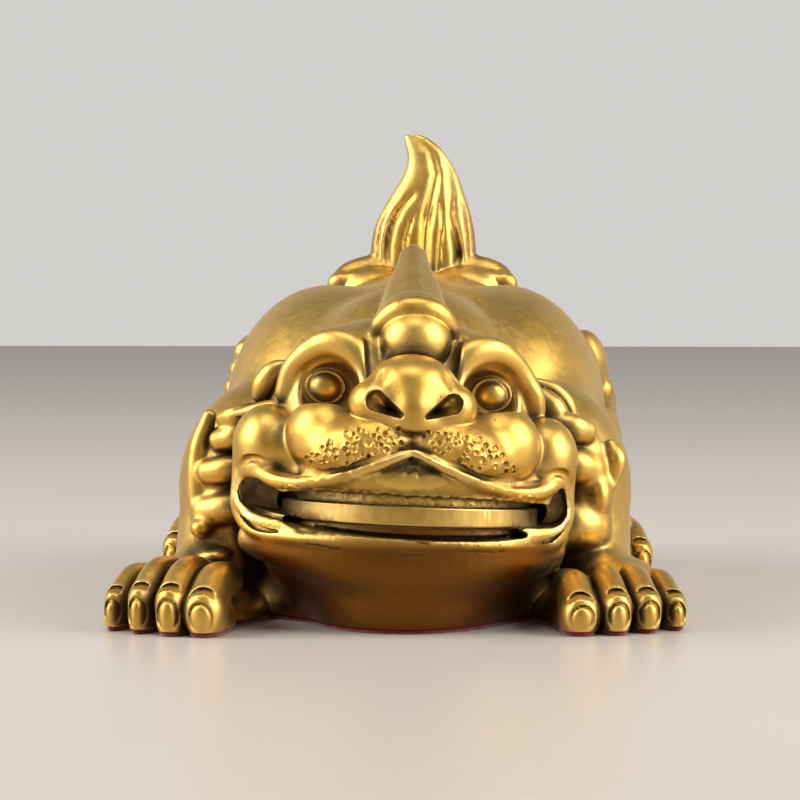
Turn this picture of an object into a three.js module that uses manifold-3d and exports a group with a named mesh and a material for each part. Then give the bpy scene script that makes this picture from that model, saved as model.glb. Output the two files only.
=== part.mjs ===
// A crouching pixiu of cast brass, with a coin between its jaws, on a thin felt pad.
// Millimetres, +Z up, the face towards -Y. The origin is on the underside of the felt.

import * as THREE from 'three';
import { mergeVertices } from 'three/addons/utils/BufferGeometryUtils.js';
import Module from 'manifold-3d';

const wasm = await Module();
wasm.setup();

// Driving sizes.
const FIGURE_WIDTH = 127.5; // over the paws
const FIGURE_LENGTH = 172; // from the nose to the rump
const FIGURE_HEIGHT = 112; // from the table to the tip of the tail
const FELT_THICKNESS = 1;
const COIN_DIAMETER = 57;
const COIN_THICKNESS = 4.2;
const HEAD_YAW = 6; // degrees, the nose turned towards +X
const HEAD_ROLL = 3; // degrees, the +X side of the face lower

// Fineness of the cast surface.
const GRID_STEP = 1.8;
const CAST_TRIANGLES = 7700;

// The carving is drawn at these sizes, from the line of the front toes, and stretched to the driving sizes.
const DRAWN = [127.5, 172, 112];
const STRETCH = [FIGURE_WIDTH / DRAWN[0], FIGURE_LENGTH / DRAWN[1], FIGURE_HEIGHT / DRAWN[2]];
const MIDDLE = 66; // from the line of the front toes back to the middle of the underside
const stretched = ([x, y, z]) => [x * STRETCH[0], (y - MIDDLE) * STRETCH[1], z * STRETCH[2]];

// A form is a function of x, y, z: under zero inside, over zero outside, in about millimetres.

const radians = (degrees) => THREE.MathUtils.degToRad(degrees);

function egg(centre, radii, turn = [0, 0, 0]) {
  const [cx, cy, cz] = centre;
  const [rx, ry, rz] = radii;
  const e = new THREE.Matrix4().makeRotationFromEuler(new THREE.Euler(...turn.map(radians))).elements;
  return (x, y, z) => {
    const dx = x - cx;
    const dy = y - cy;
    const dz = z - cz;
    const a = (dx * e[0] + dy * e[1] + dz * e[2]) / rx;
    const b = (dx * e[4] + dy * e[5] + dz * e[6]) / ry;
    const c = (dx * e[8] + dy * e[9] + dz * e[10]) / rz;
    const near = Math.sqrt(a * a + b * b + c * c);
    const slope = Math.sqrt((a * a) / (rx * rx) + (b * b) / (ry * ry) + (c * c) / (rz * rz));
    return near * (near - 1) / Math.max(slope, 1e-9);
  };
}

const FAR = 12; // past this distance a bar is only its bounding ball

// A round bar along a smooth curve. Each point is [x, y, z, radius].
function bar(points) {
  const curve = new THREE.CatmullRomCurve3(points.map((p) => new THREE.Vector3(p[0], p[1], p[2])));
  const steps = Math.max(1, (points.length - 1) * (points.length > 2 ? 4 : 1));
  const line = [];
  for (let i = 0; i <= steps; i += 1) {
    const t = (i / steps) * (points.length - 1);
    const k = Math.min(Math.floor(t), points.length - 2);
    const radius = points[k][3] + (points[k + 1][3] - points[k][3]) * (t - k);
    line.push([...curve.getPoint(i / steps).toArray(), radius]);
  }
  const ball = new THREE.Box3()
    .setFromPoints(line.map((p) => new THREE.Vector3(p[0], p[1], p[2])))
    .getBoundingSphere(new THREE.Sphere());
  const reach = ball.radius + Math.max(...points.map((p) => p[3]));
  const middle = ball.center;
  return (x, y, z) => {
    const away = Math.hypot(x - middle.x, y - middle.y, z - middle.z) - reach;
    if (away > FAR) {
      return away;
    }
    let least = Infinity;
    for (let i = 0; i < steps; i += 1) {
      const a = line[i];
      const b = line[i + 1];
      const bx = b[0] - a[0];
      const by = b[1] - a[1];
      const bz = b[2] - a[2];
      const px = x - a[0];
      const py = y - a[1];
      const pz = z - a[2];
      const along = (px * bx + py * by + pz * bz) / (bx * bx + by * by + bz * bz);
      const t = Math.min(1, Math.max(0, along));
      const off = Math.hypot(px - t * bx, py - t * by, pz - t * bz);
      least = Math.min(least, off - a[3] - t * (b[3] - a[3]));
    }
    return least;
  };
}

// Forms joined with a fillet of about the blend's size.
function join(blend, ...forms) {
  return (x, y, z) => {
    let d = forms[0](x, y, z);
    for (let i = 1; i < forms.length; i += 1) {
      d = softMin(d, forms[i](x, y, z), blend);
    }
    return d;
  };
}

function softMin(a, b, blend) {
  const h = Math.max(blend - Math.abs(a - b), 0) / blend;
  return Math.min(a, b) - h * h * blend * 0.25;
}

function cut(blend, form, ...tools) {
  return (x, y, z) => {
    let d = form(x, y, z);
    for (const tool of tools) {
      d = -softMin(-d, tool(x, y, z), blend);
    }
    return d;
  };
}

// Both sides of the middle plane, from what is drawn on the +X side.
const mirrored = (form) => (x, y, z) => form(Math.abs(x), y, z);

// A form drawn about its own origin, turned and set in its place.
function placed(form, origin, turn) {
  const euler = new THREE.Euler(...turn.map(radians), 'ZYX');
  const e = new THREE.Matrix4().makeRotationFromEuler(euler).elements;
  const [ox, oy, oz] = origin;
  return (x, y, z) => {
    const dx = x - ox;
    const dy = y - oy;
    const dz = z - oz;
    return form(
      dx * e[0] + dy * e[1] + dz * e[2],
      dx * e[4] + dy * e[5] + dz * e[6],
      dx * e[8] + dy * e[9] + dz * e[10],
    );
  };
}

// The trunk: spine, two smooth lobes over the shoulders and loins, rump, chest and belly.
function trunk() {
  const lobe = mirrored(egg([21, 82, 42], [25, 46, 32]));
  const spine = egg([0, 86, 44], [17, 62, 33]);
  const rump = egg([0, 118, 38], [40, 36, 38]);
  const belly = egg([0, 70, 18], [40, 62, 24]);
  const neck = egg([0, 46, 44], [27, 32, 30]);
  return join(7, join(10, spine, lobe, rump), join(6, belly, neck));
}

function chest() {
  const bowl = egg([1, 22, 26], [35.6, 35.5, 25.5]);
  const round = egg([1, 18, 16], [30, 25, 16]);
  const keel = egg([1, 20, 5], [21, 28, 15]);
  const web = egg([0, 48, 3], [47, 38, 13]);
  return join(5, join(8, bowl, round, keel), web);
}

const KNUCKLE = 15; // from the tip of a toe back to its knuckle

// One toe pointing to -Y from its knuckle, with a crease behind its last joint.
function toe(width, height) {
  const r = width / 2;
  const joint = height * 0.68;
  const bone = bar([[0, KNUCKLE + 2, height - r - 0.6, r], [0, KNUCKLE * 0.62, height - r - 0.2, r],
    [0, KNUCKLE * 0.26, height - r - 1.7, r], [0, -0.9, joint - r, r]]);
  const tip = egg([0, -1, height * 0.31], [r * 1.06, 5, height * 0.38]);
  const heel = egg([0, KNUCKLE * 0.45, 1.5], [r * 1.04, KNUCKLE * 0.7, height * 0.5]);
  const crease = bar([[-r * 0.8, -2, joint - 0.9, 0.5], [0, -4.4, joint, 0.7], [r * 0.8, -2, joint - 0.9, 0.5]]);
  return cut(0.8, join(2.2, bone, tip, heel), crease);
}

// The toes of a paw from the inner one out: offset, reach, width, height, turn outwards in degrees.
const FRONT_TOES = {
  '-1': [[-9.2, 22.5, 7.9, 14.8, 8], [-2.1, 21, 6.3, 15.8, 11], [4.8, 17, 5.1, 15.4, 13], [11, 12, 4.3, 13.4, 13]],
  1: [[-9.8, 22.5, 7.8, 13, 8], [-2.1, 21, 6.1, 13.9, 11], [4.4, 17, 6, 13.7, 13], [10.6, 12, 4.7, 12, 13]],
};
const HIND_TOES = {
  '-1': [[-8.6, 19, 6.6, 16, 4], [-2.8, 19.5, 6.4, 16.5, 7], [2.9, 18, 6.2, 16.4, 10], [8.3, 14.5, 5.8, 16, 13]],
  1: [[-8.6, 19, 6.6, 14.6, 4], [-2.8, 19.5, 6.4, 15, 7], [2.9, 18, 6.2, 15, 10], [8.3, 14.5, 5.8, 14.6, 13]],
};
const PAW_BACK = [11, 17, 8.4];
const PAW_CORE = 5; // the flesh between the toes

// A paw of toes fanned about its wrist. side is 1 at +X.
function paw(side, wrist, sizes) {
  const [x, y] = wrist;
  const toes = sizes.map(([offset, reach, width, height, turn]) => placed(
    toe(width, height),
    [x + side * offset, y - reach, 0],
    [0, 0, side * turn],
  ));
  const [inner, innerReach, , innerHigh] = sizes[0];
  const [outer, outerReach, , outerHigh] = sizes[sizes.length - 1];
  const back = egg([x - side * 1.5, y + 5, 6], PAW_BACK);
  const core = bar([[x + side * (inner + 1.5), y - innerReach + 6, innerHigh * 0.34, PAW_CORE],
    [x + side * (outer - 2), y - outerReach + 6, outerHigh * 0.34, PAW_CORE]]);
  const spread = bar([[x + side * inner * 0.8, y - innerReach + 13, innerHigh - 7.4, 5.6],
    [x + side * outer * 0.7, y - outerReach + 13, outerHigh - 7.4, 5]]);
  return join(0.5, join(2, back, core, spread), ...toes);
}

// The front paws stand a little off the middle: the middle of each, out and back from the toe line.
const FRONT_WRIST = { '-1': [-50.2, 12], 1: [48.4, 18] };
const HIND_WRIST = { '-1': [-53.2, 122], 1: [46.6, 122] };
const LEG_IN = { '-1': 0, 1: 2.2 }; // how much nearer the middle the foreleg stands

function foreleg(side) {
  const inwards = LEG_IN[side];
  const shoulder = egg([side * (34 - inwards), 50, 29], [18.6, 25, 23], [0, 0, side * 6]);
  const arm = egg([side * (40.4 - inwards), 47, 22], [10.6, 24, 20]);
  const forearm = bar([[side * (43.5 - inwards), 38, 14, 8.4], [side * (46 - inwards), 22, 8.4, 7.4]]);
  const sole = egg([side * (42 - inwards), 28, 2], [13, 24, 6]);
  return join(1.5, join(7, shoulder, arm, forearm), paw(side, FRONT_WRIST[side], FRONT_TOES[side]), sole);
}

// The folded hind leg: haunch, hock and a flat foot that points forward.
function hindleg(side) {
  const haunch = egg([side * 30, 114, 28], [21.5, 30, 32], [-12, 0, 0]);
  const shin = bar([[side * 44, 112, 14, 8.5], [side * 46, 132, 9, 9]]);
  const hock = egg([side * 43, 142, 10], [9, 10, 12]);
  const sole = egg([side * 42, 126, 2], [15, 23, 6]);
  return join(1.5, join(5, haunch, hock, shin), paw(side, HIND_WRIST[side], HIND_TOES[side]), sole);
}

// A short scrolled wing on the flank: a boss in front and three swept feathers.
function wing(side) {
  const boss = side > 0 ? egg([40.6, 92, 54], [6, 8.5, 9]) : egg([-37, 92, 55], [6, 8.5, 9]);
  const feathers = [0, 1, 2].map((i) => bar([
    [side * (42.5 + i * 1.2), 96, 57 - i * 4.5, 3.4],
    [side * (42 + i * 2), 110, 58 - i * 7, 3.4],
    [side * (38.5 + i * 3.2), 122 - i * 2, 57 - i * 8.5, 2.6],
    [side * (35 + i * 3.6), 130 - i * 4, 59.5 - i * 9.5, 1.2],
  ]));
  return join(1, boss, ...feathers);
}

// The flame of the tail, an upright blade: its left and right outlines from the rump to the tip,
// its half thickness at heights, and the grooves between its locks as [x, z, radius].
const TAIL_Y = 130;
const TAIL_LEFT = [[-14, 70], [-13.7, 82], [-12.6, 88.6], [-10.3, 93.5], [-7.7, 97.9], [-5.2, 102],
  [-4.1, 106], [-4.9, 112.4]];
const TAIL_RIGHT = [[14, 70], [13.5, 83], [12.7, 89.4], [10.9, 96.1], [8.3, 103.1], [4.7, 108.5],
  [0.2, 111.9], [-3.6, 112.4]];
const TAIL_HALF = [[7.6, 70], [6.8, 88], [5, 100], [3, 108], [1, 112.4]];
const TAIL_GROOVES = [
  [[-3.4, 96.8, 0.5], [-7.6, 90, 1.3], [-9, 85, 1.5], [-9.6, 76, 1.5]],
  [[1.8, 109, 0.5], [2.7, 98, 1.1], [1, 91, 1.6], [-0.6, 76, 1.4]],
  [[7, 103, 0.5], [8.6, 94, 1.1], [8.9, 88, 1.5], [8.9, 76, 1.6]],
];

// Where a line of [value, height] points stands at a height.
function at(points, height) {
  const i = Math.max(1, points.findIndex((p) => p[1] >= height));
  const [[a, low], [b, high]] = [points[i - 1], points[i]];
  return a + (b - a) * Math.min(1, Math.max(0, (height - low) / (high - low)));
}

const BLADE = 2.4; // the blade's section lies between an ellipse, 2, and a box
function tail() {
  const top = TAIL_HALF[TAIL_HALF.length - 1][1];
  const section = (z) => {
    const height = Math.min(z, top);
    const left = at(TAIL_LEFT, height);
    const right = at(TAIL_RIGHT, height);
    return { middle: (left + right) / 2, half: (right - left) / 2, deep: at(TAIL_HALF, height) };
  };
  const blade = (x, y, z) => {
    const { middle, half, deep } = section(z);
    const near = (Math.abs((x - middle) / half) ** BLADE + Math.abs((y - TAIL_Y) / deep) ** BLADE) ** (1 / BLADE);
    return Math.max((near - 1) * Math.min(half, deep), z - top);
  };
  const grooves = [-1, 1].flatMap((side) => TAIL_GROOVES.map((groove) => bar(groove.map(([x, z, r]) => {
    const { middle, half, deep } = section(z);
    const share = Math.min(Math.abs(x - middle) / half, 0.98);
    return [x, TAIL_Y + side * deep * (1 - share ** BLADE) ** (1 / BLADE), z, r];
  }))));
  return cut(0.8, blade, ...grooves);
}

// Two curled locks lie on the rump, either side of the root of the tail.
function tailRoot(side) {
  const lock = bar([[side * 7, 130, 76, 5], [side * 14, 127, 77.5, 4], [side * 20, 124, 76, 3.2],
    [side * 21.5, 121, 73.5, 2.4]]);
  const curls = [egg([side * 20, 121.5, 75.6], [2.6, 2.6, 2.4]), egg([side * 16, 120, 76.6], [2.3, 2.3, 2.2])];
  return join(0.8, lock, ...curls);
}

// The head is drawn about the point between the eyes.
const HEAD_AT = [1.5, 8, 51.4];

function skull() {
  const crown = egg([0, 18, -8], [31, 32, 23]);
  const brow = egg([0, 8, 3], [24, 13, 11]);
  const jowls = egg([0, 12, -20], [36, 30, 17]);
  return join(8, crown, brow, jowls);
}

function brows() {
  const both = mirrored(bar([[9.2, -6.6, 2, 1.2], [10.4, -5.4, 5.6, 2.6], [13.2, -3.8, 8.8, 3.5],
    [17.6, -2.2, 9.8, 3.2], [22, 0, 7.8, 2.6], [25.6, 2.4, 3.6, 2.3], [27, 3.4, -1.8, 2.1]]));
  return join(1, both, bar([[24.6, 1.6, 4.6, 2.1], [27.6, 2.4, 0.6, 2.3], [28.4, 2.8, -2.8, 2.1]]));
}

const EYE_X = 18.2;
const EYE_RING = [4.2, 3.65]; // half width and half height

function eyes() {
  const seat = mirrored(egg([EYE_X, 3.6, 0.2], [6.2, 4, 5.8]));
  const ball = mirrored(egg([EYE_X, 0.6, 0], [3.3, 2.3, 3.2]));
  const points = [];
  for (let degrees = 0; degrees <= 360; degrees += 30) {
    const a = radians(degrees);
    points.push([EYE_X + EYE_RING[0] * Math.cos(a), 0.3, 0.1 + EYE_RING[1] * Math.sin(a), 0.5]);
  }
  return join(0.4, seat, ball, mirrored(bar(points)));
}

function nose() {
  const bridge = egg([0, -12.9, 1.8], [9.5, 9.8, 6.8]);
  const septum = egg([0, -18, -2.6], [5.6, 6.6, 5.2]);
  const wings = [egg([-8, -16.8, -2.1], [5.7, 5.7, 5.2]), egg([8, -16.8, -2.5], [5.8, 5.7, 5.5])];
  const rim = bar([[-9, -18.2, -5.2, 1.2], [-4.6, -20.6, -6.2, 1.5], [0, -22.2, -6.6, 1.6], [4.6, -20.6, -6.5, 1.5],
    [9, -18.2, -6, 1.2]]);
  const nostrils = mirrored(bar([[8.1, -22, -1.4, 2.2], [5.6, -23.4, -2.8, 1.7], [3.4, -24.4, -4, 0.8]]));
  return cut(1, join(2.6, bridge, septum, ...wings, rim), nostrils);
}

function muzzle() {
  const pad = mirrored(egg([9.5, -14, -11.2], [13, 10.5, 7.6], [0, 14, 0]));
  const cheeks = [egg([-18.4, -8.6, -9.8], [8.1, 9.2, 8.3]), egg([19.6, -8.6, -10.6], [9.1, 9.2, 9.1])];
  const outer = mirrored(egg([30.4, 0, -13], [7.4, 9.4, 8.8]));
  const between = mirrored(egg([25, -1, -13.6], [6, 8.6, 7.4]));
  return join(1.2, join(2.2, pad, ...cheeks), join(1.6, outer, between));
}

// The forehead ball under its hood, and the horn that lies back over the neck.
function horn() {
  const ball = egg([0.8, -1.7, 11], [7.8, 7.6, 7.3]);
  const hood = bar([[-8.2, 0.9, 9.8, 1.3], [-6.9, -0.7, 14.2, 2.1], [-3.3, -2.2, 17.2, 2.9], [0.9, -2.8, 18, 3.1],
    [5.1, -2.2, 17.1, 2.8], [8.4, -0.5, 14, 1.9], [9.5, 0.9, 9.8, 1.1]]);
  const fill = egg([0.8, 6, 14.2], [8.6, 11, 7.8]);
  const spike = bar([[0.7, 8, 13.4, 7], [1.5, 27, 21.3, 5.6], [2.1, 40, 26.8, 4], [2.4, 48.2, 30.2, 2]]);
  return join(0.5, join(2.4, fill, spike, hood), ball);
}

// The rolled lip, and outside it the jowl's edge, which turns into the chin's.
function lips() {
  const ridge = mirrored(bar([[0.4, -23.8, -11.9, 0.9], [7.5, -23.3, -14.9, 1.2], [16, -19.3, -18.3, 1.3],
    [24.5, -12.9, -20, 1.6], [29, -8.8, -19.7, 1.9], [34, -3.8, -18.7, 1.6], [35.6, -1.8, -23.4, 1.2]]));
  const jowl = mirrored(bar([[33.6, -1.6, -12, 2.2], [36.2, 0, -21.6, 1.6], [33.9, -2.6, -30.3, 1.6],
    [25.4, -11.2, -31.9, 1.5], [11.3, -18.6, -31.7, 1.5], [0, -19.9, -31.7, 1.5]]));
  const wall = mirrored(bar([[35.4, -1.8, -25.8, 1.3], [33.6, -4, -28.2, 1.5], [30.4, -7, -29.3, 1.5],
    [27, -9.8, -29.7, 1.3], [24, -12.4, -30.6, 0.9]]));
  const pocketFloor = mirrored(egg([30, 6.6, -23.4], [7.4, 6.6, 9]));
  return join(1, ridge, jowl, wall, pocketFloor);
}

function chin() {
  return mirrored(bar([[31.6, 1.5, -33.6, 4], [25, -6.6, -34.6, 4.5], [11.3, -14, -35.6, 5], [0, -15.4, -35.6, 5]]));
}

function upperJaw() {
  return egg([0, -11.2, -17.8], [23, 12, 6]);
}

// The coin lies in the jaws, its rim just forward of the lower lip: the front of its rim in the head,
// and its turns in degrees from level in the head.
const COIN_FRONT = [1.8, -22, -25.4];
const COIN_TURN = [-2.5, -0.4, 0];
const COIN_RADIUS = COIN_DIAMETER / 2;
const COIN_MIDDLE = [COIN_FRONT[0], COIN_FRONT[1] + COIN_RADIUS];
const BAND_RADIUS = COIN_RADIUS - 1.5; // the band between the lip and the coin
const MOUTH_RADIUS = COIN_RADIUS - 1.6; // the recess that the coin stands out of
const BACK_RADIUS = COIN_RADIUS - 2.5;
const CREVICE_RADIUS = COIN_RADIUS - 3.1;

// The rough band over the coin and what the crevice under it ends on.
function mouthBack() {
  const band = egg([...COIN_MIDDLE, -21.7], [BAND_RADIUS, BAND_RADIUS, 3.4]);
  const back = egg([...COIN_MIDDLE, -29], [BACK_RADIUS, BACK_RADIUS, 4.4]);
  return join(0.4, band, back);
}

// A hollow seen from the front as a bar along points of x, z and radius, ending where behind turns positive.
function slot(points, behind) {
  const seen = bar(points.map(([x, z, r]) => [x, 0, z, r]));
  return (x, y, z) => -softMin(-seen(x, 0, z), -behind(x, y), 0.8);
}

const POCKET_BACK = 2;

// A pocket at each corner of the mouth, the recess round the coin and the crevice under it.
function mouthHollows() {
  const flat = (x, y) => y - POCKET_BACK;
  const round = (radius) => (x, y) => radius - Math.hypot(x - COIN_MIDDLE[0], y - COIN_MIDDLE[1]);
  const left = slot([[-32.7, -23.3, 3.3], [-28.6, -24.7, 2.5], [-24.6, -25.4, 2.1]], flat);
  const right = slot([[34, -19.9, 0.9], [33.7, -22.6, 1.9], [33, -24.9, 2.5], [29.4, -25.5, 2.2]], flat);
  const crevice = slot([[-22.5, -28.4, 0.5], [-8, -28.9, 1.3], [16, -28.9, 1.3], [24.4, -28.8, 0.5]],
    round(CREVICE_RADIUS));
  const roundCoin = slot([[-24.6, -24.9, 2.7], [-16, -24.5, 3.2], [14, -24.5, 3.2], [29.2, -25.1, 2.6]],
    round(MOUTH_RADIUS));
  return join(0.5, left, right, crevice, roundCoin);
}

function ears() {
  const curl = bar([[-26.4, 11.6, 4, 1.3], [-29.2, 12, 2.4, 2.5], [-31.2, 12.4, -0.4, 2.7], [-32.2, 12.6, -2.8, 1.9]]);
  const leaf = bar([[-37.2, 11, -7, 0.6], [-34, 9.2, -6.4, 1.4], [-29.4, 7, -5.3, 1.8], [-25, 4.8, -4.2, 1.2]]);
  const lobe = bar([[30.6, 9.6, 0.2, 1.8], [32.8, 8.8, -2.8, 3.1], [34.8, 9.4, -6.4, 2.4], [35.8, 10.4, -9, 1.2]]);
  const rim = bar([[29.6, 12, 2.8, 1.2], [33.6, 12.2, 1.2, 1.7], [36.6, 12.2, -2.4, 1.9], [37.6, 12.4, -8, 1.4]]);
  return join(0.8, curl, leaf, lobe, rim);
}

// The curls of the mane beside each jowl, from the ear to the beard: outer end, height, half thickness.
const MANE = {
  '-1': [[42, 45.4, 2.3], [43.6, 40.6, 2.7], [46.4, 33.4, 3], [47.6, 24.6, 3.6]],
  1: [[42.8, 42.8, 3.2], [44.4, 34.4, 4.1], [46.2, 21, 6]],
};
const MANE_FRONT = 15.5;
const MANE_ROOT = 31; // from the middle plane to where a curl leaves the jowl

function mane(side) {
  const fan = egg([side * 22, 38, 32], [20, 20, 22]);
  const collar = bar([[side * 38, 26, 42, 4], [side * 40.4, 24.6, 36, 4.6], [side * 41.2, 24, 27, 4.8],
    [side * 40, 26, 14, 5]]);
  const curls = MANE[side].map(([outer, z, r]) => bar([[side * MANE_ROOT, MANE_FRONT + r + 2.6, z + 1.2, r * 0.9],
    [side * ((outer - r + MANE_ROOT) / 2 + 1.4), MANE_FRONT + r - 0.3, z + 0.3, r],
    [side * (outer - r * 0.9), MANE_FRONT + r + 1.6, z - 0.6, r * 0.9]]));
  const lower = side < 0
    ? [egg([-45.3, 18.4, 20.4], [2.5, 3, 2.3]), egg([-42.3, 19, 14.2], [3.8, 4.4, 2]),
      bar([[-44, 24, 45, 1.6], [-46.2, 23, 38, 2.2], [-46.6, 22.6, 29, 2.4], [-45.8, 22.2, 20, 2]])]
    : [egg([43.4, 21.4, 27.6], [2.9, 4, 4.6])];
  return join(1.6, join(2, fan, collar), ...lower, ...curls);
}

function head() {
  const face = join(1.6, skull(), muzzle());
  const sockets = mirrored(egg([18, -5.4, 0], [7.4, 8, 6.2]));
  const valley = mirrored(bar([[8.2, -3, 13, 1.6], [8, -6, 8, 2.2], [7.6, -8.4, 3, 1.6]]));
  const underBall = egg([0.6, -9, 5.4], [9, 4.5, 4.5]);
  const carved = cut(1.6, join(1.4, face, brows()), sockets, valley, underBall);
  return join(0.7, carved, eyes(), nose(), horn(), ears());
}

// The form runs on this far under the table, where the flat underside is cut.
const UNDER = 2;
const HEAD_TURN = [0, HEAD_ROLL, HEAD_YAW];

function figure() {
  const body = join(4, trunk(), foreleg(-1), foreleg(1), hindleg(-1), hindleg(1));
  const backed = join(1.2, body, wing(-1), wing(1), tailRoot(-1), tailRoot(1), tail());
  const onHead = (form) => placed(form, HEAD_AT, HEAD_TURN);
  const front = join(1.5, chest(), mane(-1), mane(1));
  const lipped = join(1.3, join(1, join(5, front, onHead(chin())), onHead(head())), onHead(lips()));
  const jawed = join(0.6, join(1.4, lipped, onHead(upperJaw())), onHead(mouthBack()));
  const faced = cut(0.5, jawed, onHead(mouthHollows()));
  return cut(0.5, join(1.2, backed, faced), (x, y, z) => z + UNDER);
}

const ON_SURFACE = 1e-3; // a grid point nearer to the surface than this counts as just outside

// The ways along a cell's edges from its low to its far corner: the first step, the second step
// (1 is x, 2 is y, 4 is z) and whether the tetrahedron on that way is right-handed.
const PATHS = [[1, 2, true], [1, 4, false], [2, 1, false], [2, 4, true], [4, 1, true], [4, 2, false]];

// The surface of a form over a grid: each cell is six tetrahedra about its long diagonal.
function surface(form, low, high, step) {
  const count = low.map((a, i) => Math.ceil((high[i] - a) / step) + 1);
  const [nx, ny, nz] = count;
  const value = new Float64Array(nx * ny * nz);
  for (let k = 0, n = 0; k < nz; k += 1) {
    for (let j = 0; j < ny; j += 1) {
      for (let i = 0; i < nx; i += 1, n += 1) {
        const v = form(low[0] + i * step, low[1] + j * step, low[2] + k * step);
        value[n] = Math.abs(v) < ON_SURFACE ? ON_SURFACE : v;
      }
    }
  }
  const jump = { 1: 1, 2: nx, 4: nx * ny };
  const points = [];
  const faces = [];
  const made = new Map();
  const place = (n) => [n % nx, Math.floor(n / nx) % ny, Math.floor(n / (nx * ny))];
  const crossing = (a, b) => {
    const key = Math.min(a, b) * value.length + Math.max(a, b);
    if (!made.has(key)) {
      const t = value[a] / (value[a] - value[b]);
      const p = place(a);
      const q = place(b);
      made.set(key, points.length / 3);
      points.push(...p.map((v, i) => low[i] + (v + t * (q[i] - v)) * step));
    }
    return made.get(key);
  };
  const emit = (a, b, c, even) => faces.push(...(even ? [a, b, c] : [a, c, b]));
  for (let k = 0; k < nz - 1; k += 1) {
    for (let j = 0; j < ny - 1; j += 1) {
      for (let i = 0; i < nx - 1; i += 1) {
        const base = i + nx * (j + ny * k);
        const far = base + 1 + nx + nx * ny;
        for (const [first, second, even] of PATHS) {
          const one = base + jump[first];
          const two = one + jump[second];
          tetrahedron([base, one, two, far], value, crossing, emit, even);
        }
      }
    }
  }
  return { points: new Float64Array(points), faces: new Uint32Array(faces) };
}

// The faces of one tetrahedron, wound so that they face out of the form.
function tetrahedron(corners, value, crossing, emit, even) {
  const inside = [0, 1, 2, 3].filter((i) => value[corners[i]] < 0);
  if (inside.length === 0 || inside.length === 4) {
    return;
  }
  const outside = [0, 1, 2, 3].filter((i) => !inside.includes(i));
  const at = (i, j) => crossing(corners[i], corners[j]);
  const parity = oddOrder([...inside, ...outside]) ? !even : even;
  if (inside.length === 1) {
    emit(at(inside[0], outside[0]), at(inside[0], outside[1]), at(inside[0], outside[2]), parity);
  } else if (inside.length === 3) {
    emit(at(inside[0], outside[0]), at(inside[1], outside[0]), at(inside[2], outside[0]), parity);
  } else {
    const [a, b] = inside;
    const [c, d] = outside;
    emit(at(a, c), at(a, d), at(b, c), parity);
    emit(at(b, c), at(a, d), at(b, d), parity);
  }
}

function oddOrder(order) {
  let swaps = 0;
  for (let i = 0; i < order.length; i += 1) {
    for (let j = i + 1; j < order.length; j += 1) {
      swaps += order[i] > order[j] ? 1 : 0;
    }
  }
  return swaps % 2 === 1;
}

const SLIM = 0.04; // a triangle's doubled area over its longest side squared
const LEAST_TURN = 0.25; // the cosine of the most that a face may turn

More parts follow.
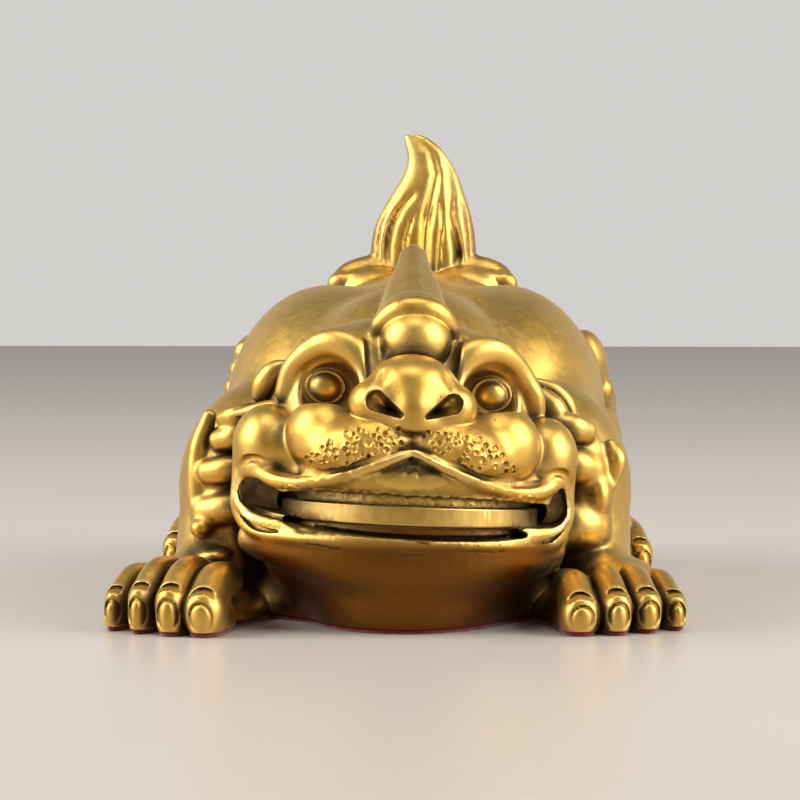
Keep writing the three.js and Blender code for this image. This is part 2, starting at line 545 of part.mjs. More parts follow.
// Edges are drawn together, the least felt ones first, until few enough triangles are left.
function simplified({ points, faces }, target) {
  const n = points.length / 3;
  const quadric = Array.from({ length: n }, () => new Float64Array(10));
  const round = Array.from({ length: n }, () => new Set());
  const alive = new Uint8Array(faces.length / 3).fill(1);
  const stamp = new Uint32Array(n);
  const point = (v) => [points[3 * v], points[3 * v + 1], points[3 * v + 2]];
  const normal = (p, q, r) => {
    const u = [q[0] - p[0], q[1] - p[1], q[2] - p[2]];
    const v = [r[0] - p[0], r[1] - p[1], r[2] - p[2]];
    return [u[1] * v[2] - u[2] * v[1], u[2] * v[0] - u[0] * v[2], u[0] * v[1] - u[1] * v[0]];
  };
  for (let f = 0; f < alive.length; f += 1) {
    const corners = [faces[3 * f], faces[3 * f + 1], faces[3 * f + 2]];
    const p = corners.map(point);
    const m = normal(...p);
    const area = Math.hypot(...m) || 1e-12;
    const [a, b, c] = m.map((v) => v / area);
    const d = -(a * p[0][0] + b * p[0][1] + c * p[0][2]);
    const plane = [a * a, a * b, a * c, a * d, b * b, b * c, b * d, c * c, c * d, d * d];
    for (const v of corners) {
      round[v].add(f);
      plane.forEach((q, i) => { quadric[v][i] += q * area; });
    }
  }
  const cost = (q, [x, y, z]) => q[0] * x * x + 2 * q[1] * x * y + 2 * q[2] * x * z + 2 * q[3] * x
    + q[4] * y * y + 2 * q[5] * y * z + 2 * q[6] * y + q[7] * z * z + 2 * q[8] * z + q[9];
  const best = (u, v) => {
    const q = quadric[u].map((value, i) => value + quadric[v][i]);
    const p = point(u);
    const r = point(v);
    const middle = p.map((value, i) => (value + r[i]) / 2);
    const options = [middle, p, r];
    const e = new THREE.Matrix3().set(q[0], q[1], q[2], q[1], q[4], q[5], q[2], q[5], q[7]);
    if (Math.abs(e.determinant()) > 1e-5) {
      const s = new THREE.Vector3(-q[3], -q[6], -q[8]).applyMatrix3(e.invert()).toArray();
      const reach = Math.hypot(p[0] - r[0], p[1] - r[1], p[2] - r[2]);
      if (Math.hypot(s[0] - middle[0], s[1] - middle[1], s[2] - middle[2]) < reach) {
        options.unshift(s);
      }
    }
    let choice = options[0];
    for (const option of options) {
      choice = cost(q, option) < cost(q, choice) - 1e-12 ? option : choice;
    }
    return { at: choice, cost: Math.max(cost(q, choice), 0) };
  };
  const heap = [];
  const push = (item) => {
    let i = heap.push(item) - 1;
    while (i > 0 && heap[(i - 1) >> 1].cost > item.cost) {
      heap[i] = heap[(i - 1) >> 1];
      i = (i - 1) >> 1;
    }
    heap[i] = item;
  };
  const pop = () => {
    const top = heap[0];
    const last = heap.pop();
    if (heap.length) {
      let i = 0;
      for (;;) {
        let child = 2 * i + 1;
        if (child >= heap.length) {
          break;
        }
        child += child + 1 < heap.length && heap[child + 1].cost < heap[child].cost ? 1 : 0;
        if (heap[child].cost >= last.cost) {
          break;
        }
        heap[i] = heap[child];
        i = child;
      }
      heap[i] = last;
    }
    return top;
  };
  const offer = (u, v) => {
    const { at, cost: felt } = best(u, v);
    push({ u, v, at, cost: felt, seen: stamp[u] + stamp[v] });
  };
  const neighbours = (v) => {
    const found = new Set();
    for (const f of round[v]) {
      for (let i = 0; i < 3; i += 1) {
        found.add(faces[3 * f + i]);
      }
    }
    found.delete(v);
    return found;
  };
  const slimness = (corners, doubleArea) => {
    const sides = [[0, 1], [1, 2], [2, 0]].map(([i, j]) => (
      Math.hypot(...corners[i].map((c, k) => c - corners[j][k]))));
    return doubleArea / Math.max(...sides) ** 2;
  };
  const spoils = (v, other, at) => {
    for (const f of round[v]) {
      const corners = [faces[3 * f], faces[3 * f + 1], faces[3 * f + 2]];
      if (corners.includes(other)) {
        continue;
      }
      const was = corners.map(point);
      const now = corners.map((c, i) => (c === v ? at : was[i]));
      const before = normal(...was);
      const after = normal(...now);
      const areas = [Math.hypot(...before), Math.hypot(...after)];
      const dot = before[0] * after[0] + before[1] * after[1] + before[2] * after[2];
      const slim = slimness(now, areas[1]);
      const turned = dot < LEAST_TURN * areas[0] * areas[1];
      const wasSlim = slimness(was, areas[0]);
      if ((turned && wasSlim > SLIM) || (slim < SLIM && slim < wasSlim)) {
        return true;
      }
    }
    return false;
  };
  const offerAll = () => {
    for (let v = 0; v < n; v += 1) {
      for (const w of neighbours(v)) {
        if (v < w) {
          offer(v, w);
        }
      }
    }
  };
  offerAll();
  let left = alive.length;
  let leftBefore = Infinity;
  while (left > target && (heap.length || left < leftBefore)) {
    if (!heap.length) {
      leftBefore = left;
      offerAll();
    }
    const { u, v, at, seen } = pop();
    if (!round[u].size || !round[v].size || seen !== stamp[u] + stamp[v]) {
      continue;
    }
    const nearU = neighbours(u);
    const nearV = neighbours(v);
    const shared = [...nearU].filter((w) => nearV.has(w));
    if (!nearU.has(v) || shared.length !== 2 || spoils(u, v, at) || spoils(v, u, at)) {
      continue;
    }
    points.set(at, 3 * u);
    for (const f of [...round[v]]) {
      const corners = [faces[3 * f], faces[3 * f + 1], faces[3 * f + 2]];
      if (corners.includes(u)) {
        alive[f] = 0;
        left -= 1;
        corners.forEach((c) => round[c].delete(f));
      } else {
        faces[3 * f + corners.indexOf(v)] = u;
        round[u].add(f);
      }
    }
    round[v].clear();
    quadric[v].forEach((q, i) => { quadric[u][i] += q; });
    stamp[u] += 1;
    const ring = neighbours(u);
    for (const w of ring) {
      offer(u, w);
    }
  }
  const number = new Map();
  const keptPoints = [];
  const keptFaces = [];
  for (let f = 0; f < alive.length; f += 1) {
    if (alive[f]) {
      for (let i = 0; i < 3; i += 1) {
        const v = faces[3 * f + i];
        if (!number.has(v)) {
          number.set(v, keptPoints.length / 3);
          keptPoints.push(...point(v));
        }
        keptFaces.push(number.get(v));
      }
    }
  }
  return { points: keptPoints, faces: keptFaces };
}

function solid(points, faces) {
  return new wasm.Manifold(new wasm.Mesh({
    numProp: 3, vertProperties: new Float32Array(points), triVerts: new Uint32Array(faces),
  }));
}

function solidOf(geometry) {
  const bare = geometry.clone();
  bare.deleteAttribute('normal');
  bare.deleteAttribute('uv');
  const merged = mergeVertices(bare, 1e-4);
  return solid(merged.attributes.position.array, merged.index.array);
}

function geometryOf(body) {
  const mesh = body.getMesh();
  const geometry = new THREE.BufferGeometry();
  geometry.setAttribute('position', new THREE.BufferAttribute(mesh.vertProperties, 3));
  geometry.setIndex(new THREE.BufferAttribute(mesh.triVerts, 1));
  geometry.computeVertexNormals();
  return geometry;
}

function boxOf(low, high) {
  const size = high.map((v, i) => v - low[i]);
  const box = new THREE.BoxGeometry(...size);
  box.translate(...low.map((v, i) => v + size[i] / 2));
  return solidOf(box);
}

const COIN_SIDES = 72;

function turnOf(degrees) {
  return new THREE.Matrix4().makeRotationFromEuler(new THREE.Euler(...degrees.map(radians), 'ZYX'));
}

function coin() {
  const disc = new THREE.CylinderGeometry(COIN_DIAMETER / 2, COIN_DIAMETER / 2, COIN_THICKNESS, COIN_SIDES);
  disc.rotateX(Math.PI / 2);
  disc.translate(0, COIN_DIAMETER / 2, 0);
  const place = turnOf(HEAD_TURN).multiply(turnOf(COIN_TURN));
  const front = new THREE.Vector3(...COIN_FRONT).applyMatrix4(turnOf(HEAD_TURN));
  place.setPosition(...stretched(HEAD_AT.map((v, i) => v + front.getComponent(i))));
  disc.applyMatrix4(place);
  return solidOf(disc);
}

const LOW = [-68, -24, -4];
const HIGH = [68, 158, 117];
const ROOM = 10; // the cutting boxes pass the casting by this much

function castSolid() {
  const { points, faces } = simplified(surface(figure(), LOW, HIGH, GRID_STEP), CAST_TRIANGLES);
  for (let i = 0; i < points.length; i += 3) {
    stretched(points.slice(i, i + 3)).forEach((v, k) => { points[i + k] = v; });
  }
  return solid(points, faces);
}

const uncut = castSolid();
const low = stretched(LOW).map((v) => v - ROOM);
const high = stretched(HIGH).map((v) => v + ROOM);
const layer = (from, to) => boxOf([low[0], low[1], from], [high[0], high[1], to]);
const brass = uncut.add(coin()).intersect(layer(FELT_THICKNESS, high[2]));
const felt = uncut.intersect(layer(0, FELT_THICKNESS));

function piece(name, body, material) {
  const mesh = new THREE.Mesh(geometryOf(body), material);
  mesh.name = name;
  return mesh;
}

const BRASS = new THREE.MeshStandardMaterial({ color: 0xb8923c, roughness: 0.32, metalness: 1 });
const FELT = new THREE.MeshStandardMaterial({ color: 0xa3121c, roughness: 0.95, metalness: 0 });

const group = new THREE.Group();
group.add(piece('pixiu', brass, BRASS), piece('felt_pad', felt, FELT));

export default group;
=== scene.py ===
"""A crouching pixiu of cast brass with a coin in its jaws, on a felt pad, under soft studio light."""
import math
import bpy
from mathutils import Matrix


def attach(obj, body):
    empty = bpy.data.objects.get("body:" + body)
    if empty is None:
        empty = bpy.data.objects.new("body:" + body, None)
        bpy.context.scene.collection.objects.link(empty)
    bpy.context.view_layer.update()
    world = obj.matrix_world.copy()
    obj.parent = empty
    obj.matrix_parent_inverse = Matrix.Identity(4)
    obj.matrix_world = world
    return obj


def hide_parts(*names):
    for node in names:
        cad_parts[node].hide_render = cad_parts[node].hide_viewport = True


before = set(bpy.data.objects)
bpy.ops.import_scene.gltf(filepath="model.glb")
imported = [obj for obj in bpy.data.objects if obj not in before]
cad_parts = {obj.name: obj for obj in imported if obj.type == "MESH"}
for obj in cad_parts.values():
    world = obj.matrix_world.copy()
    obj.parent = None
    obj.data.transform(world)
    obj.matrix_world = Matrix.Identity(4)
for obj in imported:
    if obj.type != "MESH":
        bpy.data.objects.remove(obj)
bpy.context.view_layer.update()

from concurrent.futures import ThreadPoolExecutor

import bpy
import numpy as np
from mathutils import Vector

# The carving is drawn in millimetres: x to the viewer's right, y back from the line of the front toes,
# z up from the table. MIDDLE brings it to the row frame.
MIDDLE = 66.0
MM = 0.001
FELT_THICKNESS = 1.0
LOW = np.array([-69.0, -24.0, -1.5])
HIGH = np.array([69.0, 158.0, 115.0])

GRID_STEP = 0.65
BLOCK = 24  # grid cells along a block
COARSE = 4  # a block is looked at this coarsely first
BRASS_TRIANGLES = 196000
FELT_TRIANGLES = 9000
NEAREST = 4.0  # forms further than this from a block are left out of it
CLUSTER = 9.0  # scattered points are taken together in cubes of this side
AWAY = 9.0  # stands for a distance that isn't worked out
TINY = 1e-9


# Points and forms. A form takes a patch of points and gives distances, under zero inside,
# or None where it is too far away to matter.


class Patch:
    """Points close together, with the ball that holds them."""

    def __init__(self, points, centre, reach, margin=NEAREST):
        self.p, self.centre, self.reach, self.margin = points, centre, reach, margin

    def moved(self, points, centre):
        return Patch(points, centre, self.reach, self.margin)

    def minding(self, blend):
        return self if blend <= self.margin else Patch(self.p, self.centre, self.reach, blend)

    def misses(self, centre, reach):
        dx, dy, dz = self.centre[0] - centre[0], self.centre[1] - centre[1], self.centre[2] - centre[2]
        return dx * dx + dy * dy + dz * dz > (reach + self.reach + self.margin) ** 2


def lengths(vectors):
    return np.sqrt(np.einsum("ij,ij->i", vectors, vectors))


def unit(vectors):
    return vectors / np.maximum(np.linalg.norm(vectors, axis=1, keepdims=True), TINY)


def turning(degrees, order="XYZ"):
    a, b, c = (math.radians(v) for v in degrees)
    x = np.array([[1, 0, 0], [0, math.cos(a), -math.sin(a)], [0, math.sin(a), math.cos(a)]])
    y = np.array([[math.cos(b), 0, math.sin(b)], [0, 1, 0], [-math.sin(b), 0, math.cos(b)]])
    z = np.array([[math.cos(c), -math.sin(c), 0], [math.sin(c), math.cos(c), 0], [0, 0, 1]])
    return x @ y @ z if order == "XYZ" else z @ y @ x


def egg(centre, radii, turn=None):
    centre, radii = np.array(centre, float), np.array(radii, float)
    axes = turning(turn) if turn else None
    reach = radii.max()

    def form(patch):
        if patch.misses(centre, reach):
            return None
        q = patch.p - centre
        if axes is not None:
            q = q @ axes
        q /= radii
        near = lengths(q)
        q /= radii
        return near * (near - 1) / np.maximum(lengths(q), TINY)

    return form


def smooth_line(points, per_span):
    """Points with radii along a Catmull-Rom curve through the given ones."""
    p = np.array(points, float)
    if len(p) == 2:
        return p
    ends = np.vstack([2 * p[0] - p[1], p, 2 * p[-1] - p[-2]])
    t = np.linspace(0, 1, per_span, endpoint=False)[:, None]
    out = []
    for i in range(len(p) - 1):
        a, b, c, d = ends[i:i + 4]
        out.append(0.5 * (2 * b + (c - a) * t + (2 * a - 5 * b + 4 * c - d) * t ** 2
                          + (3 * b - a - 3 * c + d) * t ** 3))
    line = np.vstack(out + [p[-1:]])
    line[:, -1] = np.maximum(line[:, -1], 0.02)
    return line


BAR_BLEND = 0.12  # rounds the faint creases between a bar's spans


def bar(points, per_span=8):
    """A round bar along a smooth curve. Each point is x, y, z, radius."""
    line = smooth_line(points, per_span)
    low, high = line[:, :3].min(0), line[:, :3].max(0)
    middle = (low + high) / 2
    reach = np.linalg.norm(high - middle) + line[:, 3].max()
    spans = []
    for a, b in zip(line[:-1], line[1:]):
        way = b[:3] - a[:3]
        half = np.linalg.norm(way) / 2
        spans.append((a[:3], way, max(way @ way, TINY), a[3], b[3] - a[3], a[:3] + way / 2, half + max(a[3], b[3])))

    def form(patch):
        if patch.misses(middle, reach):
            return None
        least = None
        for start, way, square, radius, grows, centre, span_reach in spans:
            if patch.misses(centre, span_reach):
                continue
            off = patch.p - start
            t = np.clip(off @ way / square, 0, 1)
            off -= t[:, None] * way
            d = lengths(off) - radius - t * grows
            least = d if least is None else soft_min(least, d, BAR_BLEND)
        return least

    return form


def soft_min(a, b, blend):
    h = np.maximum(blend - np.abs(a - b), 0) / blend
    return np.minimum(a, b) - h * h * (blend * 0.25)


def join(blend, *forms):
    def form(patch):
        patch = patch.minding(blend)
        d = None
        for one in forms:
            e = one(patch)
            if e is not None:
                d = e if d is None else soft_min(d, e, blend)
        return d

    return form


def cut(blend, body, *tools):
    def form(patch):
        d = body(patch)
        if d is None:
            return None
        for tool in tools:
            e = tool(patch)
            if e is not None:
                d = -soft_min(-d, e, blend)
        return d

    return form


def mirrored(body):
    def form(patch):
        p = patch.p.copy()
        p[:, 0] = np.abs(p[:, 0])
        return body(patch.moved(p, np.array([abs(patch.centre[0]), *patch.centre[1:]])))

    return form


def turned_over(body):
    def form(patch):
        return body(patch.moved(patch.p * (-1, 1, 1), patch.centre * (-1, 1, 1)))

    return form


def pressed(body, centre, reach, depth):
    """The body with marks pressed into it: depth gives how deep at points, and is nothing beyond reach."""
    def form(patch):
        d = body(patch)
        return d if d is None or patch.misses(centre, reach) else d + depth(patch.p)

    return form


def placed(body, origin, turn):
    origin, axes = np.array(origin, float), turning(turn, "ZYX")

    def form(patch):
        return body(patch.moved((patch.p - origin) @ axes, (patch.centre - origin) @ axes))

    return form


def teardrop(x, z, start, start_r, end, end_r):
    """Distance in a plane from a drop that tapers from start to end."""
    run = np.subtract(end, start)
    t = np.clip(((x - start[0]) * run[0] + (z - start[1]) * run[1]) / (run @ run), 0, 1)
    return np.hypot(x - start[0] - t * run[0], z - start[1] - t * run[1]) - start_r - t * (end_r - start_r)


def step_up(share):
    share = np.clip(share, 0, 1)
    return share * share * (3 - 2 * share)


# The body.


def trunk():
    lobe = mirrored(egg((21, 82, 42), (25, 46, 32)))
    spine = egg((0, 86, 44), (17, 62, 33))
    rump = egg((0, 118, 38), (40, 36, 38))
    belly = egg((0, 70, 18), (40, 62, 24))
    neck = egg((0, 46, 44), (27, 32, 30))

    def crease(p):
        off = teardrop(p[:, 0], p[:, 1], (15.6, 62), 0, (20.6, 37), 0)
        return 0.6 * np.exp(-(off / 1.3) ** 2) * np.clip((p[:, 2] - 48) / 6, 0, 1)

    return pressed(join(7, join(10, spine, lobe, rump), join(6, belly, neck)), (18, 50, 64), 22, crease)


def chest():
    bowl = egg((1, 22, 26), (35.6, 35.5, 25.5))
    swell = egg((1, 18, 16), (30, 25, 16))
    keel = egg((1, 20, 5), (21, 28, 15))
    web = egg((0, 48, 3), (47, 38, 13))
    return join(5, join(8, bowl, swell, keel), web)


KNUCKLE = 15.0  # from the tip of a toe back to its knuckle


def toe(width, height):
    """A toe pointing to -Y, rising from its tip to its knuckle, with a skin fold and an inset nail."""
    r = width / 2
    bone = bar([(0, KNUCKLE + 2, height - r - 0.6, r), (0, KNUCKLE * 0.62, height - r - 0.2, r * 1.02),
                (0, KNUCKLE * 0.26, height - r - 1.7, r * 1.02), (0, -0.9, height * 0.68 - r, r)])
    tip = egg((0, -1.0, height * 0.31), (r * 1.06, 5.0, height * 0.38))
    heel = egg((0, KNUCKLE * 0.45, 1.5), (r * 1.04, KNUCKLE * 0.7, height * 0.5))
    flesh = join(2.2, bone, tip, heel)
    nail_top, nail_foot = height * 0.5, 1.2
    across, up, middle = min(r * 0.7, 2.4), (nail_top - nail_foot) / 2, (nail_top + nail_foot) / 2
    fold_at = height * 0.68

    def marks(p):
        x, y, z = p.T
        front = np.clip((1.5 - y) / 2, 0, 1)
        off_nail = (np.hypot(x / across, (z - middle) / up) - 1) * across
        above_foot = np.clip((z - middle + up) / 2, 0, 1)
        groove = (0.5 + 0.3 * np.clip((z - middle) / up, 0, 1)) * np.exp(-(off_nail / 0.32) ** 2) * above_foot
        nail = 0.25 * np.clip(-off_nail / 0.5, 0, 1)
        share = np.clip(1 - (x / (r * 0.74)) ** 2, 0, 1)
        arch = z - fold_at + 0.16 * x * x
        fold = np.exp(-(arch / 0.42) ** 2) * share ** 0.6
        lip = np.exp(-((arch + 1.0) / 0.4) ** 2) * share
        return front * (groove + nail + 0.85 * fold - 0.15 * lip)

    return pressed(flesh, (0, -2, 7), 12, marks)


# The toes of a paw from the inner one out: offset, reach, width, height, turn outwards in degrees.
FRONT_TOES = {
    -1: ((-9.2, 22.5, 7.9, 14.8, 8), (-2.1, 21, 6.3, 15.8, 11), (4.8, 17, 5.1, 15.4, 13), (11.0, 12, 4.3, 13.4, 13)),
    1: ((-9.8, 22.5, 7.8, 13, 8), (-2.1, 21, 6.1, 13.9, 11), (4.4, 17, 6, 13.7, 13), (10.6, 12, 4.7, 12, 13)),
}
HIND_TOES = {
    -1: ((-8.6, 19, 6.6, 16, 4), (-2.8, 19.5, 6.4, 16.5, 7), (2.9, 18, 6.2, 16.4, 10), (8.3, 14.5, 5.8, 16, 13)),
    1: ((-8.6, 19, 6.6, 14.6, 4), (-2.8, 19.5, 6.4, 15, 7), (2.9, 18, 6.2, 15, 10), (8.3, 14.5, 5.8, 14.6, 13)),
}
FRONT_WRIST = {-1: (50.2, 12), 1: (48.4, 18)}
HIND_WRIST = {-1: (53.2, 122), 1: (46.6, 122)}
LEG_IN = {-1: 0, 1: 2.2}  # how much nearer the middle the foreleg stands
WING_BOSS = {-1: (37, 92, 55), 1: (40.6, 92, 54)}

# Legs, wings and mane stand at side -1, the viewer's left, and 1. Both are drawn to the right, and
# turned_over puts the left one in its place.


def paw(wrist, toes):
    x, y = wrist
    made = [placed(toe(width, height), (x + offset, y - reach, 0), (0, 0, turn))
            for offset, reach, width, height, turn in toes]
    (inner, reach_in, _, high_in, _), (outer, reach_out, _, high_out, _) = toes[0], toes[-1]
    back = egg((x - 1.5, y + 5, 6), (11, 17, 8.4))
    core = bar([(x + (inner + 1.5), y - reach_in + 6, high_in * 0.33, 4.7),
                (x + (outer - 2), y - reach_out + 6, high_out * 0.33, 4.4)])
    spread = bar([(x + inner * 0.8, y - reach_in + 13, high_in - 7.4, 5.6),
                  (x + outer * 0.7, y - reach_out + 13, high_out - 7.4, 5)])
    return join(0.35, join(2, back, core, spread), *made)


def foreleg(side):
    inwards = LEG_IN[side]
    shoulder = egg((34 - inwards, 50, 29), (18.6, 25, 23), (0, 0, 6))
    arm = egg((40.4 - inwards, 47, 22), (10.6, 24, 20))
    forearm = bar([(43.5 - inwards, 38, 14, 8.4), (46 - inwards, 22, 8.4, 7.4)])
    sole = egg((42 - inwards, 28, 2), (13, 24, 6))
    return join(1.5, join(7, shoulder, arm, forearm), paw(FRONT_WRIST[side], FRONT_TOES[side]), sole)


def hindleg(side):
    haunch = egg((30, 114, 28), (21.5, 30, 32), (-12, 0, 0))
    shin = bar([(44, 112, 14, 8.5), (46, 132, 9, 9)])
    hock = egg((43, 142, 10), (9, 10, 12))
    sole = egg((42, 126, 2), (15, 23, 6))
    return join(1.5, join(5, haunch, hock, shin), paw(HIND_WRIST[side], HIND_TOES[side]), sole)


def wing(side):
    boss = egg(WING_BOSS[side], (6, 8.5, 9))
    feathers = [bar([(42.5 + i * 1.2, 96, 57 - i * 4.5, 3.4), (42 + i * 2, 110, 58 - i * 7, 3.4),
                     (38.5 + i * 3.2, 122 - i * 2, 57 - i * 8.5, 2.6),
                     (35 + i * 3.6, 130 - i * 4, 59.5 - i * 9.5, 1.2)]) for i in range(3)]
    return join(0.8, boss, *feathers)


# The tail: outlines as x and z.
TAIL_Y = 130
TAIL_TOP = 112.3
TAIL_DEPTH = ((70, 88, 100, 108, 112.4), (7.6, 6.8, 5, 3, 1.0))  # half its depth at heights
TAIL_BALL = ((0, TAIL_Y, 91), 30)  # centre and reach of the ball that holds the blade
TAIL_LEFT = ((-14, 70), (-13.7, 82), (-12.6, 88.6), (-10.3, 93.5), (-7.7, 97.9), (-5.2, 102), (-4.1, 106),
             (-4.9, 111.2))
TAIL_RIGHT = ((14, 70), (13.5, 83), (12.7, 89.4), (10.9, 96.1), (8.3, 103.1), (4.7, 108.5), (0.2, 111.9),
              (-3.6, 112.3))
# The flutes down the tail: half width, then x, z and depth from the top down.
TAIL_FLUTES = (
    (1.1, ((-1.6, 98.6, 0), (-3.2, 96, 0.6), (-6.2, 92.6, 1.0), (-8.1, 89, 1.2), (-9.2, 84, 1.2), (-9.4, 74, 0.8))),
    (1.3, ((-0.8, 111.5, 0), (2.2, 107.4, 0.6), (3.4, 102.1, 0.9), (2.5, 97.4, 1.1), (1.3, 91.6, 1.7), (0.7, 87, 1.2),
           (0.2, 74, 0.9))),
    (1.2, ((3.9, 108.6, 0), (6.3, 103.3, 0.6), (7.2, 97.4, 0.7), (6.9, 91.6, 0.8), (8.0, 87, 1.3), (9, 82, 1.6),
           (9, 74, 1.5))),
    (0.5, ((-8.6, 94.5, 0), (-10.4, 90, 0.25), (-11.4, 84.5, 0.3), (-11.6, 74, 0.2))),
    (0.5, ((9.2, 97, 0), (10.6, 92.8, 0.25), (11.4, 84, 0.3), (11.6, 74, 0.2))),
    (0.7, ((4.4, 97, 0), (4.8, 94, 0.4), (5.1, 89, 0.5), (4.4, 84, 0.5), (4, 74, 0.4))),
    (0.7, ((-1.4, 94, 0), (-3.0, 90, 0.4), (-4.4, 85, 0.5), (-4.8, 74, 0.4))),
)
BLADE = 3.2  # the blade's section lies between an ellipse, 2, and a box
FLUTE_MOST = 0.32  # of the blade's thickness


def tail():
    left = smooth_line([(x, z, 1) for x, z in TAIL_LEFT], 8)
    right = smooth_line([(x, z, 1) for x, z in TAIL_RIGHT], 8)
    top = right[:, 1].argmax()

    def section(z):
        a = np.interp(z, left[:, 1], left[:, 0])
        b = np.interp(z, right[:top + 1, 1], right[:top + 1, 0])
        deep = np.interp(z, *TAIL_DEPTH)
        return (a + b) / 2, np.maximum((b - a) / 2, 0.3), deep

    def blade(patch):
        if patch.misses(*TAIL_BALL):
            return None
        x, y, z = patch.p.T
        middle, half, deep = section(z)
        near = (np.abs((x - middle) / half) ** BLADE + np.abs((y - TAIL_Y) / deep) ** BLADE) ** (1 / BLADE)
        return np.maximum((near - 1) * np.minimum(half, deep), z - TAIL_TOP)

    flutes = [(width, np.array(points)[::-1].T) for width, points in TAIL_FLUTES]

    def fluting(p):
        x, _, z = p.T
        total = 0
        for width, (xs, zs, depths) in flutes:
            total = total + np.interp(z, zs, depths) * np.exp(-((x - np.interp(z, zs, xs)) / width) ** 2)
        middle, half, deep = section(z)
        share = np.clip(np.abs((x - middle) / half), 0, 1)
        thick = deep * (1 - share ** BLADE) ** (1 / BLADE)
        return np.minimum(total, thick * FLUTE_MOST) * np.clip((z - 72) / 4, 0, 1)

    return pressed(blade, *TAIL_BALL, fluting)


def tail_root():
    lock = bar([(6, 131, 74.6, 6), (12.5, 128, 77, 4.3), (18.5, 125, 76.4, 3.3), (22, 121.5, 73.8, 2.4)])
    curls = [egg((20.8, 121, 74.7), (2.8, 2.4, 2.2)), egg((17, 121, 75.6), (2.3, 2.2, 1.7))]
    hollow = bar([(6, 121.4, 77.6, 0.8), (10.5, 121.4, 78.3, 1.5), (14.4, 121.6, 78.4, 0.9)])
    seat = egg((11, 122, 72), (10, 7, 6.4))
    return join(1.0, join(2, cut(0.8, lock, hollow), seat), *curls)


# The curls of the mane beside each jowl, from the ear down: outer end, height and half thickness.
MANE = {
    -1: ((42, 45.4, 2.3), (43.6, 40.6, 2.7), (46.4, 33.4, 3.0), (47.6, 24.6, 3.6)),
    1: ((42.8, 42.8, 3.2), (44.4, 34.4, 4.1), (46.2, 21.0, 6.0)),
}
MANE_FRONT = 15.5
MANE_ROOT = 31.0


def mane(side):
    fan = egg((22, 38, 32), (20, 20, 22))
    collar = bar([(38, 26, 42, 4), (40.4, 24.6, 36, 4.6), (41.2, 24, 27, 4.8), (40, 26, 14, 5)])
    curls = []
    for x, z, r in MANE[side]:
        front = MANE_FRONT + r
        middle = (x - r + MANE_ROOT) / 2 + 1.4
        curls.append(bar([(MANE_ROOT, front + 2.6, z + 1.2, r * 0.9), (middle, front - 0.3, z + 0.3, r),
                          (x - r * 0.9, front + 1.6, z - 0.6, r * 0.9)]))
    if side < 0:
        knob = egg((45.3, 18.4, 20.4), (2.5, 3, 2.3))
        ledge = egg((42.3, 19, 14.2), (3.8, 4.4, 2))
        edge = bar([(44, 24, 45, 1.6), (46.2, 23, 38, 2.2), (46.6, 22.6, 29, 2.4), (45.8, 22.2, 20, 2)])
        return join(1.4, join(2, fan, collar), edge, knob, ledge, *curls)
    leaf = bar([(46, 24.4, 39, 1.2), (47.2, 23.4, 35.4, 2.2), (46.4, 23, 30.4, 1.2)])
    link = egg((43.4, 21.4, 27.6), (2.9, 4, 4.6))
    dimple = egg((40.6, 16.4, 27.6), (1.8, 2.6, 0.9))
    return cut(0.8, join(1.8, join(2, fan, collar), leaf, link, *curls), dimple)


# The head is drawn about the point between the eyes.
HEAD_AT = (1.5, 8, 51.4)
HEAD_TURN = (0, 3, 6)


def skull():
    crown = egg((0, 18, -8), (31, 32, 23))
    brow = egg((0, 8, 3), (24, 13, 11))
    jowls = egg((0, 12, -20), (36, 30, 17))
    return join(8, crown, brow, jowls)


def brows():
    both = mirrored(bar([(9.2, -6.6, 2.0, 1.2), (10.4, -5.4, 5.6, 2.6), (13.2, -3.8, 8.8, 3.5),
                         (17.6, -2.2, 9.8, 3.2), (22, 0, 7.8, 2.6), (25.6, 2.4, 3.6, 2.3), (27, 3.4, -1.8, 2.1)]))
    return join(1, both, bar([(24.6, 1.6, 4.6, 2.1), (27.6, 2.4, 0.6, 2.3), (28.4, 2.8, -2.8, 2.1)]))


EYE_X = 18.2
EYE_RING = (4.2, 3.65)  # half width and half height


def eyes():
    """The balls, each in a fine ring."""
    seat = mirrored(egg((EYE_X, 3.6, 0.2), (6.2, 4.0, 5.8)))
    ball = mirrored(egg((EYE_X, 0.6, 0), (3.3, 2.3, 3.2)))
    turns = np.radians(np.arange(0, 361, 15))
    ring = mirrored(bar([(EYE_X + EYE_RING[0] * math.cos(t), 0.3, 0.1 + EYE_RING[1] * math.sin(t), 0.3)
                         for t in turns], 1))
    drill = bar([(-19.4, -4, -0.2, 0.4), (-19.4, -1.8, -0.2, 0.3)], 1)
    return cut(0.15, join(0.5, seat, ball, ring), drill)


def nose():
    bridge = egg((0, -12.9, 1.8), (9.5, 9.8, 6.8))
    septum = egg((0, -18.0, -2.6), (5.6, 6.6, 5.2))
    wings = [egg((-8.0, -16.8, -2.1), (5.7, 5.7, 5.2)), egg((8.0, -16.8, -2.5), (5.8, 5.7, 5.5))]
    rim = bar([(-9, -18.2, -5.0, 1.2), (-4.6, -20.6, -5.8, 1.5), (0, -22.2, -6.0, 1.6), (4.6, -20.6, -6.2, 1.5),
               (9, -18.2, -5.9, 1.2)])

    def nostrils(p):
        x = np.abs(p[:, 0])
        hole = teardrop(x, p[:, 2], (8.1, -1.4), 2.35, (2.9, -4.1), 0.7)
        furrow = np.exp(-((x - 6.8 + 0.4 * (p[:, 2] - 4)) / 1.0) ** 2 - ((p[:, 2] - 3.6) / 2.2) ** 2)
        front = step_up((-14.5 - p[:, 1]) / 2)
        inwards = np.clip((0.15 - hole) / 2.4, 0, 1)
        return front * 3.0 * (1 - (1 - inwards) ** 2) * step_up(inwards * 5) + 0.6 * furrow

    return pressed(join(2.6, bridge, septum, *wings, rim), (0, -20, 0), 16, nostrils)


